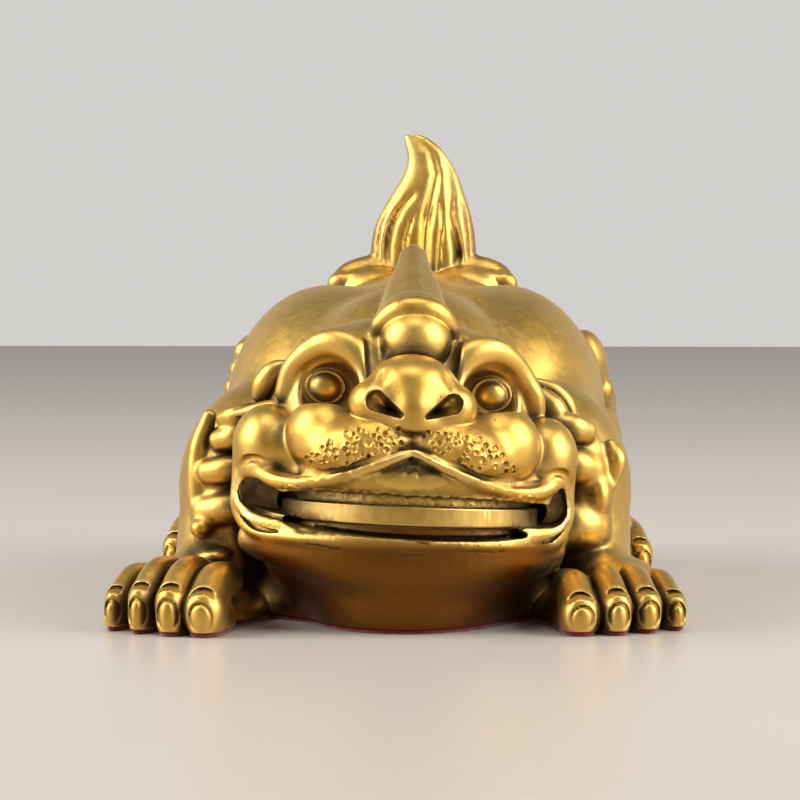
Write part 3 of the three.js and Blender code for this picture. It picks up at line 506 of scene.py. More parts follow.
def muzzle():
    pad = mirrored(egg((9.5, -14, -11.2), (13, 10.5, 7.6), (0, 14, 0)))
    cheeks = [egg((-18.4, -8.6, -9.8), (8.1, 9.2, 8.3)), egg((19.6, -8.6, -10.6), (9.1, 9.2, 9.1))]
    outer = mirrored(egg((30.4, 0, -13), (7.4, 9.4, 8.8)))
    between = mirrored(egg((25, -1, -13.6), (6, 8.6, 7.4)))
    philtrum = bar([(0, -25, -5.5, 0.5), (0, -25.6, -9, 0.7), (0.4, -25, -11.8, 0.7)])
    return join(1.0, cut(1.2, join(2.2, pad, *cheeks), philtrum), join(1.6, outer, between))


HORN_BASE = np.array([0.7, 8.0, 13.4])
HORN_TIP = np.array([2.5, 50.0, 31.0])


def horn():
    """The forehead ball under its hood, and the horn that lies back over the neck."""
    ball = egg((0.8, -1.7, 11.0), (7.8, 7.6, 7.3))
    hood = bar([(-8.2, 1.6, 6.4, 0.5), (-8.2, 0.9, 9.8, 1.3), (-6.9, -0.7, 14.2, 2.1), (-3.3, -2.2, 17.2, 2.9),
                (0.9, -2.8, 18.0, 3.1), (5.1, -2.2, 17.1, 2.8), (8.4, -0.5, 14.0, 1.9), (9.5, 0.9, 9.8, 1.1),
                (9.4, 1.8, 6.4, 0.4)])
    fill = egg((0.8, 6, 14.2), (8.6, 11, 7.8))
    axis = HORN_TIP - HORN_BASE
    length = np.linalg.norm(axis)
    axis /= length
    across = np.cross(axis, (0, 0, 1))
    across /= np.linalg.norm(across)
    up = np.cross(across, axis)
    middle = (HORN_BASE + HORN_TIP) / 2

    def wedge(patch):
        if patch.misses(middle, length / 2 + 6):
            return None
        q = patch.p - HORN_BASE
        t = q @ axis
        share = np.clip(t / length, 0, 1)
        half = np.interp(share, (0, 0.45, 0.72, 0.9, 1), (8.8, 6.3, 4.1, 3.3, 1.6))
        high = np.interp(share, (0, 0.45, 0.72, 0.9, 1), (7.0, 5.4, 4.3, 3.4, 1.8))
        u, v = np.abs(q @ across) / half, q @ up / high
        near = np.sqrt(u ** 2 + v ** 2)
        lens = np.maximum(near, (u + v * v) * 0.86)
        return np.maximum((lens - 1) * np.minimum(half, high), np.maximum(t - length, -t - 4) * 0.9)

    return join(0.4, join(2.4, join(1.4, fill, wedge), hood), ball)


# The lip runs as a rolled ridge from under the nose round the corner of the mouth. The jowl's edge lies
# outside it, with a groove between, and turns into the chin's. Points as x, y, z, radius.
LIP_RIDGE = ((0.4, -23.8, -11.9, 0.8), (3, -24.2, -12.8, 0.95), (7.5, -23.3, -14.9, 1.15), (12, -21.7, -16.8, 1.2),
             (16, -19.3, -18.3, 1.3), (20, -16.5, -19.4, 1.4), (24.5, -12.9, -20, 1.6), (29.0, -8.8, -19.7, 1.9),
             (31.8, -6.2, -18.6, 1.8), (34.0, -3.8, -18.7, 1.6), (35.2, -2.2, -20.6, 1.2), (35.6, -1.8, -23.4, 1.0),
             (35.3, -1.8, -26.2, 1.2))
LIP_GROOVE = ((36.6, -2.6, -23.6, 0.4), (36.7, -3.4, -21, 0.55), (36.3, -4.6, -18.4, 0.7), (34.8, -6.4, -16.2, 0.85),
              (32.8, -8, -15.7, 0.9), (30.6, -9.4, -16.6, 0.8), (28.2, -11, -17.7, 0.7), (24.5, -14.2, -18.1, 0.6),
              (19.9, -17.9, -17.4, 0.5), (16, -20.6, -16.6, 0.45), (12, -22.9, -15.1, 0.45),
              (7.5, -24.5, -13.2, 0.45), (3, -25.1, -11.6, 0.45), (0.8, -25.1, -10.9, 0.4))
JOWL_EDGE = ((33.6, -1.6, -12, 2.2), (35.6, -0.8, -16.6, 1.7), (36.2, 0, -21.6, 1.4), (35.9, -0.4, -26.6, 1.6),
             (33.9, -2.6, -30.3, 1.6), (30.6, -6.4, -31.6, 1.5), (25.4, -11.2, -31.9, 1.4), (19, -15.5, -31.8, 1.4),
             (11.3, -18.6, -31.7, 1.4), (0, -19.9, -31.7, 1.4))
CHIN_FILL = ((31.6, 1.5, -33.6, 4), (25, -6.6, -34.6, 4.5), (11.3, -14, -35.6, 5), (0, -15.4, -35.6, 5))


def upper_jaw():
    return egg((0, -11.2, -17.8), (23, 12, 6))


COIN_RADIUS = 28.5
COIN_HALF = 2.1
COIN_FRONT = (1.8, -22, -25.4)
COIN_TURN = (-2.5, -0.4, 0)
COIN_MIDDLE = (COIN_FRONT[0], COIN_FRONT[1] + COIN_RADIUS)
COIN_SOFT = 0.45  # how round its rims are
# The front of the rim is ground flat from this x on: a point of the flat, and the way it faces.
GROUND_FROM = 6.2
GROUND_AT = (7, 0.35)
GROUND_WAY = (0.367, -0.93)


def round_strip():
    """The rough band that shows between the lip and the coin, set back round the coin."""
    return egg((*COIN_MIDDLE, -21.7), (27, 27, 3.4))


def mouth_back():
    """What the crevice between the coin and the chin ends on."""
    return egg((*COIN_MIDDLE, -29), (26.9, 26.9, 4.6))


def lips():
    wall = bar([(35.4, -1.8, -25.8, 1.25), (33.6, -4.0, -28.2, 1.4), (30.4, -7.0, -29.3, 1.5), (27, -9.8, -29.7, 1.3),
                (24, -12.4, -30.6, 0.8)], 5)
    pocket_floor = egg((30, 6.6, -23.4), (7.4, 6.6, 9))
    return join(1.0, *(mirrored(one) for one in (bar(LIP_RIDGE, 5), bar(JOWL_EDGE, 5), wall, pocket_floor)))


def chin():
    return mirrored(bar(CHIN_FILL, 5))


def slot(points, behind):
    """A hollow that looks like a bar along points of x, z and radius, and ends where behind turns positive."""
    line = smooth_line(points, 4)
    middle = (line[:, 0].mean(), -10, line[:, 1].mean())
    reach = np.hypot(np.ptp(line[:, 0]) / 2 + 5, 18)

    def form(patch):
        if patch.misses(middle, reach):
            return None
        x, y, z = patch.p.T
        near = np.minimum.reduce([teardrop(x, z, a[:2], a[2], b[:2], b[2]) for a, b in zip(line[:-1], line[1:])])
        return -soft_min(-near, -behind(x, y), 0.8)

    return form


POCKET_BACK = 2.0
MOUTH_RADIUS = 26.9
CREVICE_RADIUS = 26.8
LINE_RADIUS = 24.8


def ending_round(radius):
    """Where a slot ends on an upright cylinder about the coin's middle."""
    return lambda x, y: radius - np.hypot(x - COIN_MIDDLE[0], y - COIN_MIDDLE[1])


def mouth_hollows():
    def pocket_end(x, y):
        return y - POCKET_BACK

    left = slot([(-32.7, -23.3, 3.3), (-28.6, -24.7, 2.5), (-24.6, -25.4, 2.1)], pocket_end)
    right = slot([(34.0, -19.9, 0.8), (33.7, -22.6, 1.9), (33.0, -24.9, 2.5), (29.4, -25.5, 2.2)], pocket_end)
    crevice = slot([(-25.6, -28.5, 0.5), (-20, -28.8, 0.9), (-8, -28.9, 1.25), (6, -28.9, 1.35), (18, -28.9, 1.3),
                    (23.5, -29.0, 1.0), (25.8, -29.2, 0.5)], ending_round(CREVICE_RADIUS))
    line = slot([(-19, -29.5, 0.2), (-8, -29.9, 0.4), (6, -30.0, 0.45), (17, -29.9, 0.4), (22, -29.6, 0.2)],
                ending_round(LINE_RADIUS))
    round_coin = slot([(-24.6, -24.9, 2.7), (-16, -24.5, 3.2), (14, -24.5, 3.2), (29.2, -25.1, 2.6)],
                      ending_round(MOUTH_RADIUS))
    split = mirrored(bar([(27.0, -10.9, -31.0, 0.3), (29.4, -8.7, -30.9, 0.6), (32.2, -6.0, -30.2, 0.75),
                          (34.8, -3.4, -28.2, 0.5)]))
    return join(0.4, left, right, crevice, line, round_coin, split)


def coin():
    """A disc with softened rims, ground flat along part of its front."""
    def disc(patch):
        if patch.misses((0, COIN_RADIUS, 0), COIN_RADIUS + 1):
            return None
        x, y, z = patch.p.T
        rim = np.hypot(x, y - COIN_RADIUS) - COIN_RADIUS
        ground = (y - GROUND_AT[1]) * GROUND_WAY[1] + (x - GROUND_AT[0]) * GROUND_WAY[0]
        rim = np.maximum(rim, np.where(x > GROUND_FROM, ground, -AWAY)) + COIN_SOFT
        flat = np.abs(z) - COIN_HALF + COIN_SOFT
        return np.minimum(np.maximum(rim, flat), 0) + np.hypot(np.maximum(rim, 0), np.maximum(flat, 0)) - COIN_SOFT

    return placed(disc, COIN_FRONT, COIN_TURN)


def ears():
    curl = bar([(-26.4, 11.6, 4.0, 1.3), (-29.2, 12, 2.4, 2.5), (-31.2, 12.4, -0.4, 2.7), (-32.2, 12.6, -2.8, 1.9)])
    leaf = bar([(-37.2, 11, -7.0, 0.5), (-34.0, 9.2, -6.4, 1.4), (-29.4, 7.0, -5.3, 1.8), (-25, 4.8, -4.2, 1.2)])
    lobe = bar([(30.6, 9.6, 0.2, 1.8), (32.8, 8.8, -2.8, 3.1), (34.8, 9.4, -6.4, 2.4), (35.8, 10.4, -9.0, 1.2)])
    rim = bar([(29.6, 12, 2.8, 1.2), (33.6, 12.2, 1.2, 1.7), (36.6, 12.2, -2.4, 1.9), (37.6, 12.4, -8.0, 1.4)])
    return join(0.6, curl, leaf, lobe, rim)


def head():
    face = join(1.6, skull(), muzzle())
    sockets = mirrored(egg((18.0, -5.4, 0), (7.4, 8, 6.2)))
    valley = mirrored(bar([(8.2, -3, 13, 1.6), (8.0, -6, 8, 2.2), (7.6, -8.4, 3, 1.6)]))
    under_ball = egg((0.6, -9, 5.4), (9, 4.5, 4.5))
    carved = cut(1.4, join(1.4, face, brows()), sockets, valley, under_ball)
    return join(0.6, carved, eyes(), nose(), horn(), ears())


def on_head(form):
    return placed(form, HEAD_AT, HEAD_TURN)


def on_both_sides(part):
    return turned_over(part(-1)), part(1)


def figure():
    body = join(4, trunk(), *on_both_sides(foreleg), *on_both_sides(hindleg))
    root = tail_root()
    backed = join(1, body, *on_both_sides(wing), turned_over(root), root, tail())
    front = join(1.2, chest(), *on_both_sides(mane))
    lipped = join(1.3, join(1.0, join(5, front, on_head(chin())), on_head(head())), on_head(lips()))
    grooved = cut(0.8, lipped, on_head(mirrored(bar(LIP_GROOVE, 5))))
    jawed = join(0.4, join(1.4, grooved, on_head(upper_jaw())), on_head(round_strip()), on_head(mouth_back()))
    faced = cut(0.35, jawed, on_head(mouth_hollows()))
    return join(0.2, join(1.2, backed, faced), on_head(coin()))


# Casting detail, added to the form's distances where the mesh is fine.


def lattice(cells):
    """A steady random number from 0 to 1 for each whole-number place."""
    h = (cells[..., 0] * 374761393 + cells[..., 1] * 668265263 + cells[..., 2] * 2147483647) & 0xFFFFFFFF
    h = ((h ^ (h >> 13)) * 1274126177) & 0xFFFFFFFF
    return ((h ^ (h >> 16)) & 0xFFFF) / 65535.0


def noise(p, size):
    """Smooth noise from -1 to 1 whose bumps are about size across."""
    q = p / size
    base = np.floor(q).astype(np.int64)
    f = q - base
    f = f * f * (3 - 2 * f)
    total = 0
    for corner in np.ndindex(2, 2, 2):
        weight = np.prod(np.where(corner, f, 1 - f), axis=1)
        total = total + weight * lattice(base + np.array(corner))
    return total * 2 - 1


def pad_top(x):
    """How high the whisker pads reach at a distance from the middle."""
    return np.interp(x, (0, 6, 12, 18, 23), (-6.6, -7.2, -7.4, -10.4, -14.6))


SEED = 11
PITS_EACH_SIDE = 40
MOST_TRIES = 4000


def whisker_pits():
    """Punched pits on the whisker pads: head places x, z with radius and depth, crowded near the lip."""
    rng = np.random.default_rng(SEED)
    pits = []
    for side in (-1, 1):
        tries = 0
        while tries < MOST_TRIES and sum(1 for p in pits if p[0] * side > 0) < PITS_EACH_SIDE:
            tries += 1
            x = rng.uniform(2.2, 23)
            lower = np.interp(x, (0, 5, 9.5, 13.6, 20, 24), (-9.2, -11.2, -13.1, -14.8, -15.9, -15))
            z = rng.uniform(lower, pad_top(x))
            r = rng.uniform(0.38, 0.85)
            if all(math.hypot(side * x - a, z - b) > (r + c) * 0.95 for a, b, c, _ in pits):
                pits.append((side * x, z, r, rng.uniform(0.2, 0.5)))
    return pits


PITS = whisker_pits()

# Where the head is marked, as boxes with a low and a high corner.
OPEN = math.inf
PADS = ((-25, -OPEN, -19), (25, -10, -4))
STRIP = ((-29, -OPEN, -OPEN), (29, -8, -20.6))
JAW = ((-22, -OPEN, -21), (22, -14, -15))
CREVICE = ((-30, -OPEN, -31.0), (30, -4, -27.8))
CHIN = ((-OPEN, -OPEN, -35), (OPEN, -8, -31.4))
# These three boxes bound the painted shade in the mouth.
PAINTED_SHADE_RECESS = ((-OPEN, -OPEN, -31), (OPEN, -6, -27.3))
PAINTED_SHADE_JAW = ((-24, -22.6, -21), (24, -12, -14.5))
PAINTED_SHADE_RIM = ((-OPEN, -OPEN, -29), (OPEN, -6, -22))
# The plane of the coin's upper face: its height at the front, and how fast it rises backwards.
COIN_TOP = -23.1
COIN_RISE = 0.044
# Rough spots left by the casting, at head places: x, y, z, reach and height.
ROUGH_SPOTS = ((0.6, -22, -15.2, 3.0, 0.3), (12.0, -1.0, 12.6, 2.6, 0.5), (-30, -6, -33, 2, 0.15))
# Short cracks in the chin, at head places: x and z of each end.
CHIN_CRACKS = (((-21, -32.9), (-14.1, -33.3)), ((-5.8, -33.7), (3.4, -33.5)), ((11.4, -32.8), (21.4, -32.4)))
CRACK_WIDTH = 0.3
HEAD_AXES = turning(HEAD_TURN, "ZYX")


def head_places(p):
    return (p - HEAD_AT) @ HEAD_AXES


def within(q, box):
    return ((q > box[0]) & (q < box[1])).all(1)


def only_in(box, q, marks):
    """The marks at the places inside the box, and nothing elsewhere."""
    chosen = within(q, box)
    out = np.zeros(len(q))
    if chosen.any():
        out[chosen] = marks(q[chosen])
    return out


def cracked(q):
    """How near each head place is to a crack in the chin, from 0 to 1."""
    def cracks(q):
        x, z = q[:, 0], q[:, 2] + 0.25 * noise(q, 1.7)
        off = np.minimum.reduce([teardrop(x, z, start, 0, end, 0) for start, end in CHIN_CRACKS])
        return np.exp(-(off / CRACK_WIDTH) ** 2)

    return only_in(CHIN, q, cracks)


def mouth_painted_shade(q):
    """How much painted shade the mouth gets at each head place: the recess under the coin, less so the jaw and the
    coin's rim.
    """
    away = np.hypot(q[:, 0] - COIN_MIDDLE[0], q[:, 1] - COIN_MIDDLE[1]) - COIN_RADIUS
    recess = within(q, PAINTED_SHADE_RECESS) & (away < -0.6)
    rim = within(q, PAINTED_SHADE_RIM) & (away > -1) & (away < 0.6)
    return np.select([recess, within(q, PAINTED_SHADE_JAW), rim], [1.0, 0.4, 0.28], 0.0)


def pad_skin(q):
    """The skin of the whisker pads, with each pit in its raised edge."""
    x, z = q[:, 0], q[:, 2]
    d = 0.11 * noise(q, 1.5) * step_up((pad_top(np.abs(x)) + 1 - z) / 1.5)
    for a, b, r, deep in PITS:
        off = np.hypot(x - a, z - b)
        d += deep * np.clip(1 - (off / r) ** 2, 0, 1) - 0.13 * np.exp(-((off - r * 1.12) / 0.2) ** 2)
    return d


def rough_band(q):
    """The rough band over the coin."""
    over = q[:, 2] > COIN_TOP + COIN_RISE * (q[:, 1] - COIN_FRONT[1])
    return (0.16 * noise(q + 7, 1.1) + 0.1 * noise(q, 0.55)) * over


def relief(p):
    """What the casting and the punch add to the smooth form, in mm: over zero digs in."""
    d = 0.03 * noise(p, 11.0) + 0.004 * noise(p + 31, 2.6)
    q = head_places(p)
    d += only_in(PADS, q, pad_skin)
    d += only_in(STRIP, q, rough_band)
    d += only_in(JAW, q, lambda q: 0.07 * noise(q * (1, 1, 1.6), 1.3))
    for *place, reach, high in ROUGH_SPOTS:
        off = ((q - place) ** 2).sum(1)
        near = off < (2 * reach) ** 2
        if near.any():
            d[near] += np.exp(-off[near] / reach ** 2) * high * noise(q[near], 0.9)
    d += 0.12 * cracked(q)
    return d + only_in(CREVICE, q, lambda q: 0.07 * noise(q + 3, 0.9))


# From a form to a mesh.

THREADS = 4
PASSED_OVER = 1.6  # a block whose middle is further out than this many of its reaches is left empty,
SOLID = 2.2  # and one whose middle is further in than this many is left full
CARE = 1.5  # how much further off the surface is looked for, as forms can be steeper than distances
RELIEF_ROOM = 0.3  # mm kept for the relief on both sides of the surface


def sampled(form, step):
    """The form's values on a grid: worked out near its surface, and only its side elsewhere."""
    side = BLOCK * step
    blocks = np.ceil((HIGH - LOW) / side).astype(int)
    value = np.full(blocks * BLOCK + 1, AWAY, np.float32)
    ticks = np.arange(BLOCK + 1) * step
    cell = np.stack(np.meshgrid(ticks, ticks, ticks, indexing="ij"), -1)
    sparse = cell[::COARSE, ::COARSE, ::COARSE].reshape(-1, 3)
    parts = BLOCK // COARSE
    reach = side / 2 * 3 ** 0.5
    near = (COARSE * step * 3 ** 0.5 / 2 + RELIEF_ROOM) * CARE

    def one(place):
        """A block's slice of the grid, its values, and which of them are worked out."""
        corner = LOW + np.array(place) * side
        centre = corner + side / 2
        at = tuple(slice(i * BLOCK, (i + 1) * BLOCK + 1) for i in place)
        probe = form(Patch(centre[None], centre, reach))
        if probe is None or probe[0] > reach * PASSED_OVER:
            return None
        if probe[0] < -reach * SOLID:
            return at, -AWAY, False
        rough = form(Patch(corner + sparse, centre, reach))
        if rough is None:
            return None
        rough = rough.reshape(parts + 1, parts + 1, parts + 1)
        corners = [rough[a:parts + a, b:parts + b, c:parts + c] for a, b, c in np.ndindex(2, 2, 2)]
        least, most = np.minimum.reduce(corners), np.maximum.reduce(corners)
        block = np.where(least > 0, AWAY, -AWAY)
        for axis in range(3):
            block = np.repeat(block, COARSE, axis)
        block = np.pad(block, ((0, 1), (0, 1), (0, 1)), mode="edge")
        mask = np.zeros(block.shape, bool)
        for cube in np.argwhere((least < near) & (most > -near)) * COARSE:
            mask[tuple(slice(i, i + COARSE + 1) for i in cube)] = True
        if mask.any():
            found = form(Patch(corner + cell[mask], centre, reach))
            block[mask] = AWAY if found is None else found
        return at, block, mask

    with ThreadPoolExecutor(THREADS) as pool:
        for at, block, known in filter(None, pool.map(one, np.ndindex(*blocks))):
            value[at] = np.where(known | (np.abs(value[at]) >= AWAY), block, value[at])
    return value


def nets(value, step):
    """Surface nets: a point in each cell that the surface crosses, a quad over each crossed edge."""
    inside = value < 0
    n = np.array(value.shape)
    total = sum(inside[a:n[0] - 1 + a, b:n[1] - 1 + b, c:n[2] - 1 + c].astype(np.int8)
                for a, b, c in np.ndindex(2, 2, 2))
    cells = np.argwhere((total > 0) & (total < 8))
    number = np.full(n - 1, -1, np.int32)
    number[tuple(cells.T)] = np.arange(len(cells))
    sums, hits = np.zeros((len(cells), 3)), np.zeros(len(cells))
    for a in (np.array(c) for c in np.ndindex(2, 2, 2)):
        for axis in range(3):
            if a[axis]:
                continue
            b = a.copy()
            b[axis] = 1
            va, vb = value[tuple((cells + a).T)], value[tuple((cells + b).T)]
            crossed = (va < 0) != (vb < 0)
            t = va[crossed] / (va[crossed] - vb[crossed])
            sums[crossed] += a + t[:, None] * (b - a)
            hits[crossed] += 1
    points = LOW + (cells + sums / hits[:, None]) * step
    quads = []
    for axis in range(3):
        u, v = (axis + 1) % 3, (axis + 2) % 3
        first = [slice(0, e) for e in n]
        first[u] = first[v] = slice(1, -1)
        second = list(first)
        first[axis], second[axis] = slice(0, n[axis] - 1), slice(1, n[axis])
        a, b = inside[tuple(first)], inside[tuple(second)]
        edge = np.argwhere(a != b)
        leaving = a[tuple(edge.T)]
        edge[:, (u, v)] += 1
        around = []
        for du, dv in ((0, 0), (-1, 0), (-1, -1), (0, -1)):
            c = edge.copy()
            c[:, u] += du
            c[:, v] += dv
            around.append(number[tuple(c.T)])
        q = np.stack(around, 1)
        q[~leaving] = q[~leaving][:, ::-1]
        quads.append(q)
    quads = np.vstack(quads)
    return points, np.vstack([quads[:, [0, 1, 2]], quads[:, [0, 2, 3]]])


def values_at(form, points):
    """The form at scattered points, taken together where they are close."""
    cube = np.floor(points / CLUSTER).astype(np.int64) + 64
    code = (cube[:, 0] * 256 + cube[:, 1]) * 256 + cube[:, 2]
    order = np.argsort(code, kind="stable")
    starts = np.flatnonzero(np.diff(code[order], prepend=-1))
    out = np.full(len(points), AWAY)
    for chosen in np.split(order, starts[1:]):
        p = points[chosen]
        low, high = p.min(0), p.max(0)
        d = form(Patch(p, (low + high) / 2, np.linalg.norm(high - low) / 2))
        if d is not None:
            out[chosen] = d
    return out


CORNERS = np.array([(1, 1, 1), (1, -1, -1), (-1, 1, -1), (-1, -1, 1)], float)


def slope_at(form, points, h=0.06):
    """Value and slope of the form at points, from the four corners of a small tetrahedron."""
    around = (points[:, None] + h * CORNERS).reshape(-1, 3)
    found = values_at(form, around).reshape(-1, 4)
    return found.mean(1), found @ CORNERS / (4 * h)


def settled(form, points, most=0.5):
    """The points moved onto the form's surface."""
    d, slope = slope_at(form, points)
    move = -d[:, None] * slope / np.maximum((slope ** 2).sum(1), 0.04)[:, None]
    size = np.linalg.norm(move, axis=1, keepdims=True)
    return points + move * np.minimum(1, most / np.maximum(size, TINY))


def refined(points, faces, chosen):
    """The chosen triangles cut in four, and their neighbours cut to fit."""
    edges = np.stack([faces[:, [0, 1]], faces[:, [1, 2]], faces[:, [2, 0]]], 1)
    edges.sort(2)
    code = edges[..., 0].astype(np.int64) * len(points) + edges[..., 1]
    wanted = np.unique(code[chosen])
    at = np.clip(np.searchsorted(wanted, code), 0, len(wanted) - 1)
    split = wanted[at] == code
    middle = len(points) + at
    ends = np.stack([wanted // len(points), wanted % len(points)], 1)
    points = np.vstack([points, (points[ends[:, 0]] + points[ends[:, 1]]) / 2])
    count = split.sum(1)
    out = [faces[count == 0]]
    f, m = faces[count == 3], middle[count == 3]
    out += [np.stack([f[:, 0], m[:, 0], m[:, 2]], 1), np.stack([m[:, 0], f[:, 1], m[:, 1]], 1),
            np.stack([m[:, 2], m[:, 1], f[:, 2]], 1), m]
    for k in range(3):
        a, b, c = k, (k + 1) % 3, (k + 2) % 3
        only = (count == 1) & split[:, k]
        f, m = faces[only], middle[only]
        out += [np.stack([f[:, a], m[:, k], f[:, c]], 1), np.stack([m[:, k], f[:, b], f[:, c]], 1)]
        pair = (count == 2) & ~split[:, k]
        f, m = faces[pair], middle[pair]
        out += [np.stack([f[:, a], f[:, b], m[:, b]], 1), np.stack([f[:, a], m[:, b], m[:, c]], 1),
                np.stack([m[:, c], m[:, b], f[:, c]], 1)]
    return points, np.vstack(out), len(points) - len(wanted)


def row(points):
    """Drawing millimetres to row metres."""
    return (points - (0, MIDDLE, 0)) * MM


def drawing(points):
    return points / MM + (0, MIDDLE, 0)


def mesh_of(name, points, faces):
    mesh = bpy.data.meshes.new(name)
    mesh.vertices.add(len(points))
    mesh.vertices.foreach_set("co", row(points).ravel().astype(np.float32))
    mesh.loops.add(len(faces) * 3)
    mesh.loops.foreach_set("vertex_index", faces.ravel().astype(np.int32))
    mesh.polygons.add(len(faces))
    mesh.polygons.foreach_set("loop_start", np.arange(len(faces), dtype=np.int32) * 3)
    mesh.update(calc_edges=True)
    return mesh


def object_of(name, data):
    made = bpy.data.objects.new(name, data)
    bpy.context.scene.collection.objects.link(made)
    return made


def places_of(mesh):
    flat = np.empty(len(mesh.vertices) * 3, np.float32)
    mesh.vertices.foreach_get("co", flat)
    return drawing(flat.reshape(-1, 3).astype(float))


def fewer(made, triangles):
    """The object's mesh drawn down to about so many triangles."""
    share = triangles / len(made.data.polygons)
    if share < 1:
        thin = made.modifiers.new("fewer", "DECIMATE")
        thin.ratio = share
        graph = bpy.context.evaluated_depsgraph_get()
        mesh = bpy.data.meshes.new_from_object(made.evaluated_get(graph))
        made.modifiers.clear()
        made.data = mesh


def smooth_normals(mesh, slope):
    mesh.shade_smooth()
    mesh.normals_split_custom_set_from_vertices(unit(slope).tolist())


def attribute(mesh, name, values):
    layer = mesh.attributes.new(name, "FLOAT", "POINT")
    layer.data.foreach_set("value", values.astype(np.float32))


# Where the mesh is made finer, in turn: the front of the head, the front paws, then the whisker pads
# and the eyes.
FINE_BOXES = (
    ((-42, -24, 14), (43, 16, 74)),
    ((-66, -24, -1), (66, 10, 17)),
    ((-25, -24, 32), (28, 2, 48)),
    ((-23, -2, 47.5), (-11, 14, 58.5)),
    ((14, -2, 44), (27, 14, 55.5)),
)
# How far out the hollows, and how far in the ridges, are felt for.
HOLLOW_REACHES = (0.7, 1.8, 4.0, 8.0)
PROUD_REACHES = (0.6, 1.5)
# The chin and chest get painted shade and a painted dark reflection below this height and within this half width.
PAINTED_SHADE_TOP = 23.0
PAINTED_SHADE_HALF = 37.0


def brass_casting():
    """The casting's mesh, with how hollow and how proud each point lies, and where shade is painted on it."""
    smooth = figure()

    def standing(marks):
        def cast(patch):
            d = smooth(patch)
            return None if d is None else np.maximum(d + marks(patch.p), FELT_THICKNESS - patch.p[:, 2])
        return cast

    base = standing(lambda p: 0)
    detailed = standing(relief)
    points, faces = nets(sampled(base, GRID_STEP), GRID_STEP)
    points = settled(base, points)
    for box in FINE_BOXES:
        points, faces, old = refined(points, faces, within(points[faces].mean(1), box))
        points[old:] = settled(base, points[old:])
    points = settled(detailed, points, 0.7)
    made = object_of("pixiu_casting", mesh_of("pixiu_casting", points, faces))
    fewer(made, BRASS_TRIANGLES)
    mesh = made.data
    points = places_of(mesh)
    _, slope = slope_at(detailed, points)
    smooth_normals(mesh, slope)
    _, slope = slope_at(base, points, 0.2)
    normal = unit(slope)
    shares = [1 - np.clip(values_at(base, points + normal * s) / s, -0.2, 1) for s in HOLLOW_REACHES]
    thin = [1 + np.clip(values_at(base, points - normal * s) / s, -1, 0.2) for s in PROUD_REACHES]
    places = head_places(points)
    # The under attribute is painted shade and a painted dark reflection where the chin and chest lie low and face
    # down, with the mouth's painted shade.
    low = np.clip((PAINTED_SHADE_TOP - points[:, 2]) / 5, 0, 1) * np.clip((PAINTED_SHADE_HALF - np.abs(points[:, 0])) / 6, 0, 1)
    attribute(mesh, "nook", np.maximum((shares[0] + shares[1]) / 2, cracked(places)))
    attribute(mesh, "hollow", (shares[2] + shares[3]) / 2)
    attribute(mesh, "proud", (thin[0] + thin[1]) / 2)
    attribute(mesh, "under", np.maximum(np.clip(0.9 - normal[:, 2], 0, 1) * low, mouth_painted_shade(places)))
    return made


FELT_INSET = 0.35


def felt_pad():
    """The felt, cut a little inside the outline of the casting's underside."""
    smooth = figure()

    def slab(patch):
        if patch.centre[2] - patch.reach - patch.margin > FELT_THICKNESS:
            return None
        p = patch.p.copy()
        p[:, 2] = FELT_THICKNESS
        d = smooth(patch.moved(p, np.array([*patch.centre[:2], FELT_THICKNESS])))
        if d is None:
            return None
        rough = 0.12 * noise(patch.p, 0.8)
        z = patch.p[:, 2]
        return np.maximum(d + FELT_INSET + rough, np.abs(z - FELT_THICKNESS / 2) - FELT_THICKNESS / 2)

    points, faces = nets(sampled(slab, GRID_STEP), GRID_STEP)
    points = settled(slab, points)
    points[:, 2] = np.clip(points[:, 2], 0, FELT_THICKNESS)
    made = object_of("felt_pad_sheet", mesh_of("felt_pad_sheet", points, faces))
    fewer(made, FELT_TRIANGLES)
    return made


# Materials, as nodes.


def add(tree, kind, inputs=(), **settings):
    """A new node, with its inputs by name or number linked to a socket or set to a value."""
    made = tree.nodes.new(kind)
    for key, value in settings.items():
        setattr(made, key, value)
    for name, value in dict(inputs).items():
        if isinstance(value, bpy.types.NodeSocket):
            tree.links.new(value, made.inputs[name])
        else:
            made.inputs[name].default_value = value
    return made


def material_of(name, look):
    """A material whose shader has the inputs that look gives from the places on the object."""
    material = bpy.data.materials.new(name)
    material.use_nodes = True
    tree = material.node_tree
    tree.nodes.clear()
    where = add(tree, "ShaderNodeTexCoord").outputs["Object"]
    shader = add(tree, "ShaderNodeBsdfPrincipled", look(tree, where))
    add(tree, "ShaderNodeOutputMaterial", {"Surface": shader.outputs["BSDF"]})
    return material


def blended(tree, share, a, b):
    """Colour a turning to b by share."""
    return add(tree, "ShaderNodeMix", {0: share, 6: a, 7: b}, data_type="RGBA").outputs[2]


def ranged(tree, value, from_low, from_high, to_low=0.0, to_high=1.0):
    made = add(tree, "ShaderNodeMapRange", {"Value": value, "From Min": from_low, "From Max": from_high,
                                            "To Min": to_low, "To Max": to_high}, interpolation_type="SMOOTHSTEP")
    return made.outputs["Result"]


def plus(tree, a, b):
    return add(tree, "ShaderNodeMath", {0: a, 1: b}, operation="ADD").outputs[0]


def times(tree, a, b):
    return add(tree, "ShaderNodeMath", {0: a, 1: b}, operation="MULTIPLY").outputs[0]


def bump_of(tree, height, strength, distance):
    made = add(tree, "ShaderNodeBump", {"Height": height, "Strength": strength, "Distance": distance})
    return made.outputs["Normal"]


def attribute_of(tree, name):
    return add(tree, "ShaderNodeAttribute", attribute_name=name).outputs["Fac"]


def noise_of(tree, where, size, detail, rough=0.5, stretch=None):
    """Noise whose features are about size across, in metres, drawn out along stretch."""
    if stretch:
        where = add(tree, "ShaderNodeMapping", {"Vector": where, "Scale": stretch}).outputs["Vector"]
    made = add(tree, "ShaderNodeTexNoise", {"Vector": where, "Scale": 1 / size, "Detail": detail, "Roughness": rough})
    return made.outputs["Fac"]


